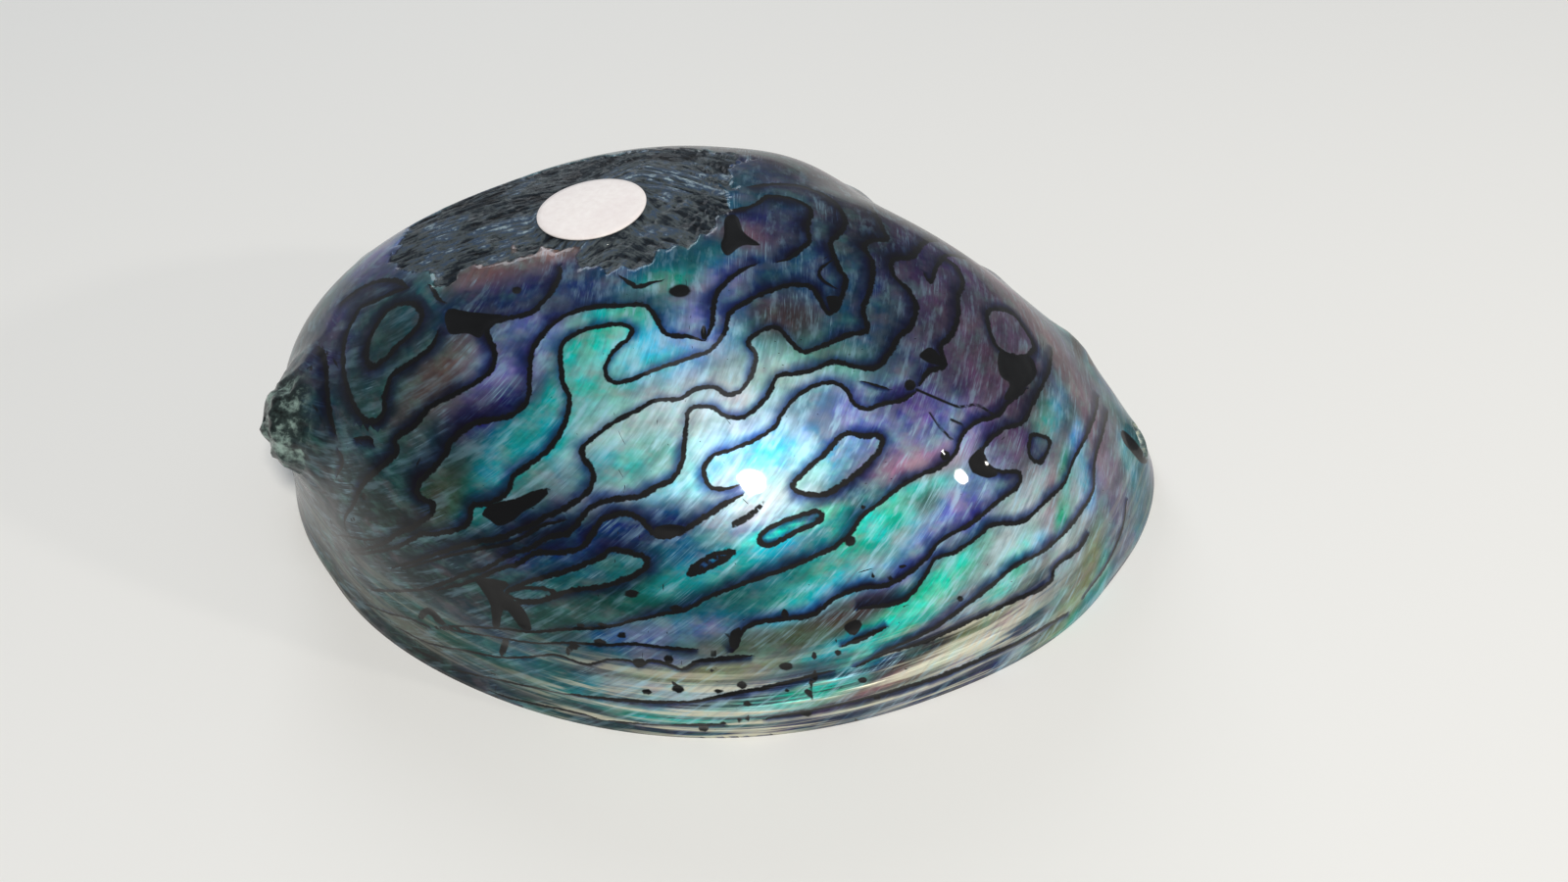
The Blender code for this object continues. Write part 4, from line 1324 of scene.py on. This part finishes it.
def nacre_inside():
    """Bare nacre: warped swirls of sea green and rose with silver ripples."""
    bench = Bench("inner_nacre")
    place = bench.add("TexCoord", {}, "Object")
    warp = bench.noise(place, 22.0, 2.0, 0.5, 1)
    swirl = bench.noise(bench.mix(0.12, place, warp, "ADD"), 26.0, 5.0, 0.6)
    colour = bench.ramp(swirl, SWIRL_STOPS)
    ripple = bench.noise(bench.stretch(place, (1, 3, 1)), 90.0, 4.0)
    colour = bench.mix(bench.ease(ripple, 0.4, 0.65, 0.0, 0.5), colour, rgba("silver"))
    return bench.finish(
        Base_Color=colour,
        Metallic=0.45,
        Roughness=bench.ease(ripple, 0.3, 0.7, 0.24, 0.36),
        Coat_Weight=0.8,
        Coat_Roughness=0.12,
        Normal=bench.bump(ripple, 0.0003, 0.5),
    )


def lip_edge(name, scale):
    """Cut layers seen edge on: noise stretched by a scale for each axis."""
    bench = Bench(name)
    place = bench.add("TexCoord", {}, "Object")
    layers = bench.noise(bench.stretch(place, scale), 1.0, 4.0)
    colour = bench.ramp(layers, LAYER_STOPS)
    return bench.finish(
        Base_Color=colour, Metallic=0.2, Roughness=0.42, Coat_Weight=0.4, Coat_Roughness=0.2,
        Normal=bench.bump(layers, 0.0002, 0.5),
    )


for finish in (nacre_outside(), lip_edge("lip_edge", LIP_LAYERS), nacre_inside(),
               lip_edge("pore_wall", PORE_LAYERS)):
    shell.data.materials.append(finish)
print("shell finishes:", [finish.name for finish in shell.data.materials])

# %% [markdown]
# ## The paper label
#
# A round sticker of thin uncoated paper. It bends with the crest below it, and its cut edge shows
# as a thin wall. Its face is left blank.

# %% Label
LABEL_COLUMNS, LABEL_RINGS = 96, 12
LABEL_LOW, LABEL_HIGH, LABEL_BEVEL = 0.24, 0.56, 0.06
SHARP_ANGLE = math.radians(50)


def label_rings():
    """Rings of a disc on the dome: out to the edge on top, down the cut edge, and back below."""
    angle = np.arange(LABEL_COLUMNS)[:, None] * math.tau / LABEL_COLUMNS
    out = np.linspace(0, LABEL_RADIUS - LABEL_BEVEL, LABEL_RINGS + 1)[1:]
    away = np.concatenate([out, [LABEL_RADIUS, LABEL_RADIUS], out[::-1]])
    wall = [LABEL_HIGH - LABEL_BEVEL, LABEL_LOW + LABEL_BEVEL]
    rise = np.concatenate([np.full(LABEL_RINGS, LABEL_HIGH), wall, np.full(LABEL_RINGS, LABEL_LOW)])
    x = LABEL[0] + away * np.cos(angle)
    y = LABEL[1] + away * np.sin(angle)
    return np.stack([x, y, dome_height(x, y) + rise], axis=2)


def paper():
    """Pale pulp with faint mottling."""
    bench = Bench("label_paper_blank")
    place = bench.add("TexCoord", {}, "Object")
    pulp = bench.noise(place, 900.0, 5.0, 0.65)
    mottle = bench.noise(place, 150.0, 2.0)
    colour = bench.ramp(pulp, [(0.3, (0.94, 0.91, 0.90)), (0.7, (0.98, 0.96, 0.95))])
    colour = bench.mix(bench.ease(mottle, 0.4, 0.7, 0.0, 0.25), colour, rgba((0.90, 0.85, 0.85)))
    return bench.finish(Base_Color=colour, Roughness=0.55, Normal=bench.bump(pulp, 0.00005, 0.4))


label_top = float(dome_height(*LABEL))
label_mesh = closed_mesh(
    "paper_label", [*LABEL, label_top + LABEL_HIGH], label_rings(), [*LABEL, label_top + LABEL_LOW],
    [0] * (2 * LABEL_RINGS + 3)
)
label = add_piece("paper_label", label_mesh)
label.data.materials.append(paper())
label.data.set_sharp_from_angle(angle=SHARP_ANGLE)
print("label:", len(label_mesh.polygons), "faces")

# %% [markdown]
# ## Floor and light
#
# A plain pale floor and soft light. Two broad soft lamps, one high in front and one behind, light
# the dome all round. Two smaller warm ones stand where the polished coat mirrors them at the spots
# that shine in the picture.

# %% Floor, world and lamps
FLOOR_HALF = 15.0
FLOOR_COLOUR, WORLD_COLOUR, WORLD_STRENGTH = (0.85, 0.85, 0.83, 1), (0.80, 0.84, 0.90, 1), 0.29
floor_mesh = bpy.data.meshes.new("floor")
floor_corners = [(x * FLOOR_HALF, y * FLOOR_HALF, 0) for x, y in ((-1, -1), (1, -1), (1, 1), (-1, 1))]
floor_mesh.from_pydata(floor_corners, [], [(0, 1, 2, 3)])
floor = add_piece("floor", floor_mesh)
floor_bench = Bench("pale_floor")
floor_mesh.materials.append(floor_bench.finish(Base_Color=FLOOR_COLOUR, Roughness=0.8))

world = bpy.data.worlds.new("studio")
bpy.context.scene.world = world
world.use_nodes = True
world.node_tree.nodes["Background"].inputs["Color"].default_value = WORLD_COLOUR
world.node_tree.nodes["Background"].inputs["Strength"].default_value = WORLD_STRENGTH


def lamp(name, place, target, size, power, colour):
    """A round area lamp at a place, facing a target, both in millimetres."""
    light = bpy.data.lights.new(name, "AREA")
    light.shape = "DISK"
    light.size = size * MM
    light.energy = power
    light.color = colour
    made = bpy.data.objects.new(name, light)
    bpy.context.scene.collection.objects.link(made)
    made.location = np.asarray(place) * MM
    made.rotation_euler = (Vector(target) - Vector(place)).to_track_quat("-Z", "Y").to_euler()
    return made


def mirror_place(pixel, distance):
    """Where a lamp must stand to shine at a pixel: the view's ray mirrored at the surface."""
    place, normal = cast([pixel])
    ray = ray_directions([pixel])[0]
    return place[0], place[0] + distance * (ray - 2 * (ray @ normal[0]) * normal[0])


LAMP_DISTANCE = 1500
WARM, COOL = (1.0, 0.95, 0.88), (0.90, 0.95, 1.0)
SPOTS = [("spot_front", (765, 492), 200, 16.0), ("spot_side", (980, 486), 90, 2.8)]
SOFT_LAMPS = [("soft_fill", (150, -200, 1500), 700, 2.2), ("soft_back", (-500, 1300, 900), 700, 5.0)]
SOFT_TARGET = (0, 0, 20)
for name, pixel, size, power in SPOTS:
    target, place = mirror_place(pixel, LAMP_DISTANCE)
    lamp(name, place, target, size, power, WARM)
    print(name, "stands at", np.round(place))
for name, place, size, power in SOFT_LAMPS:
    lamp(name, place, SOFT_TARGET, size, power, COOL)
bpy.context.scene.view_settings.view_transform = "Standard"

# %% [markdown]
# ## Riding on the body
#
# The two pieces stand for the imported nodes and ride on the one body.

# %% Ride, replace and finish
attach(shell, "root")
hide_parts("shell")
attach(label, "root")
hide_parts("label")
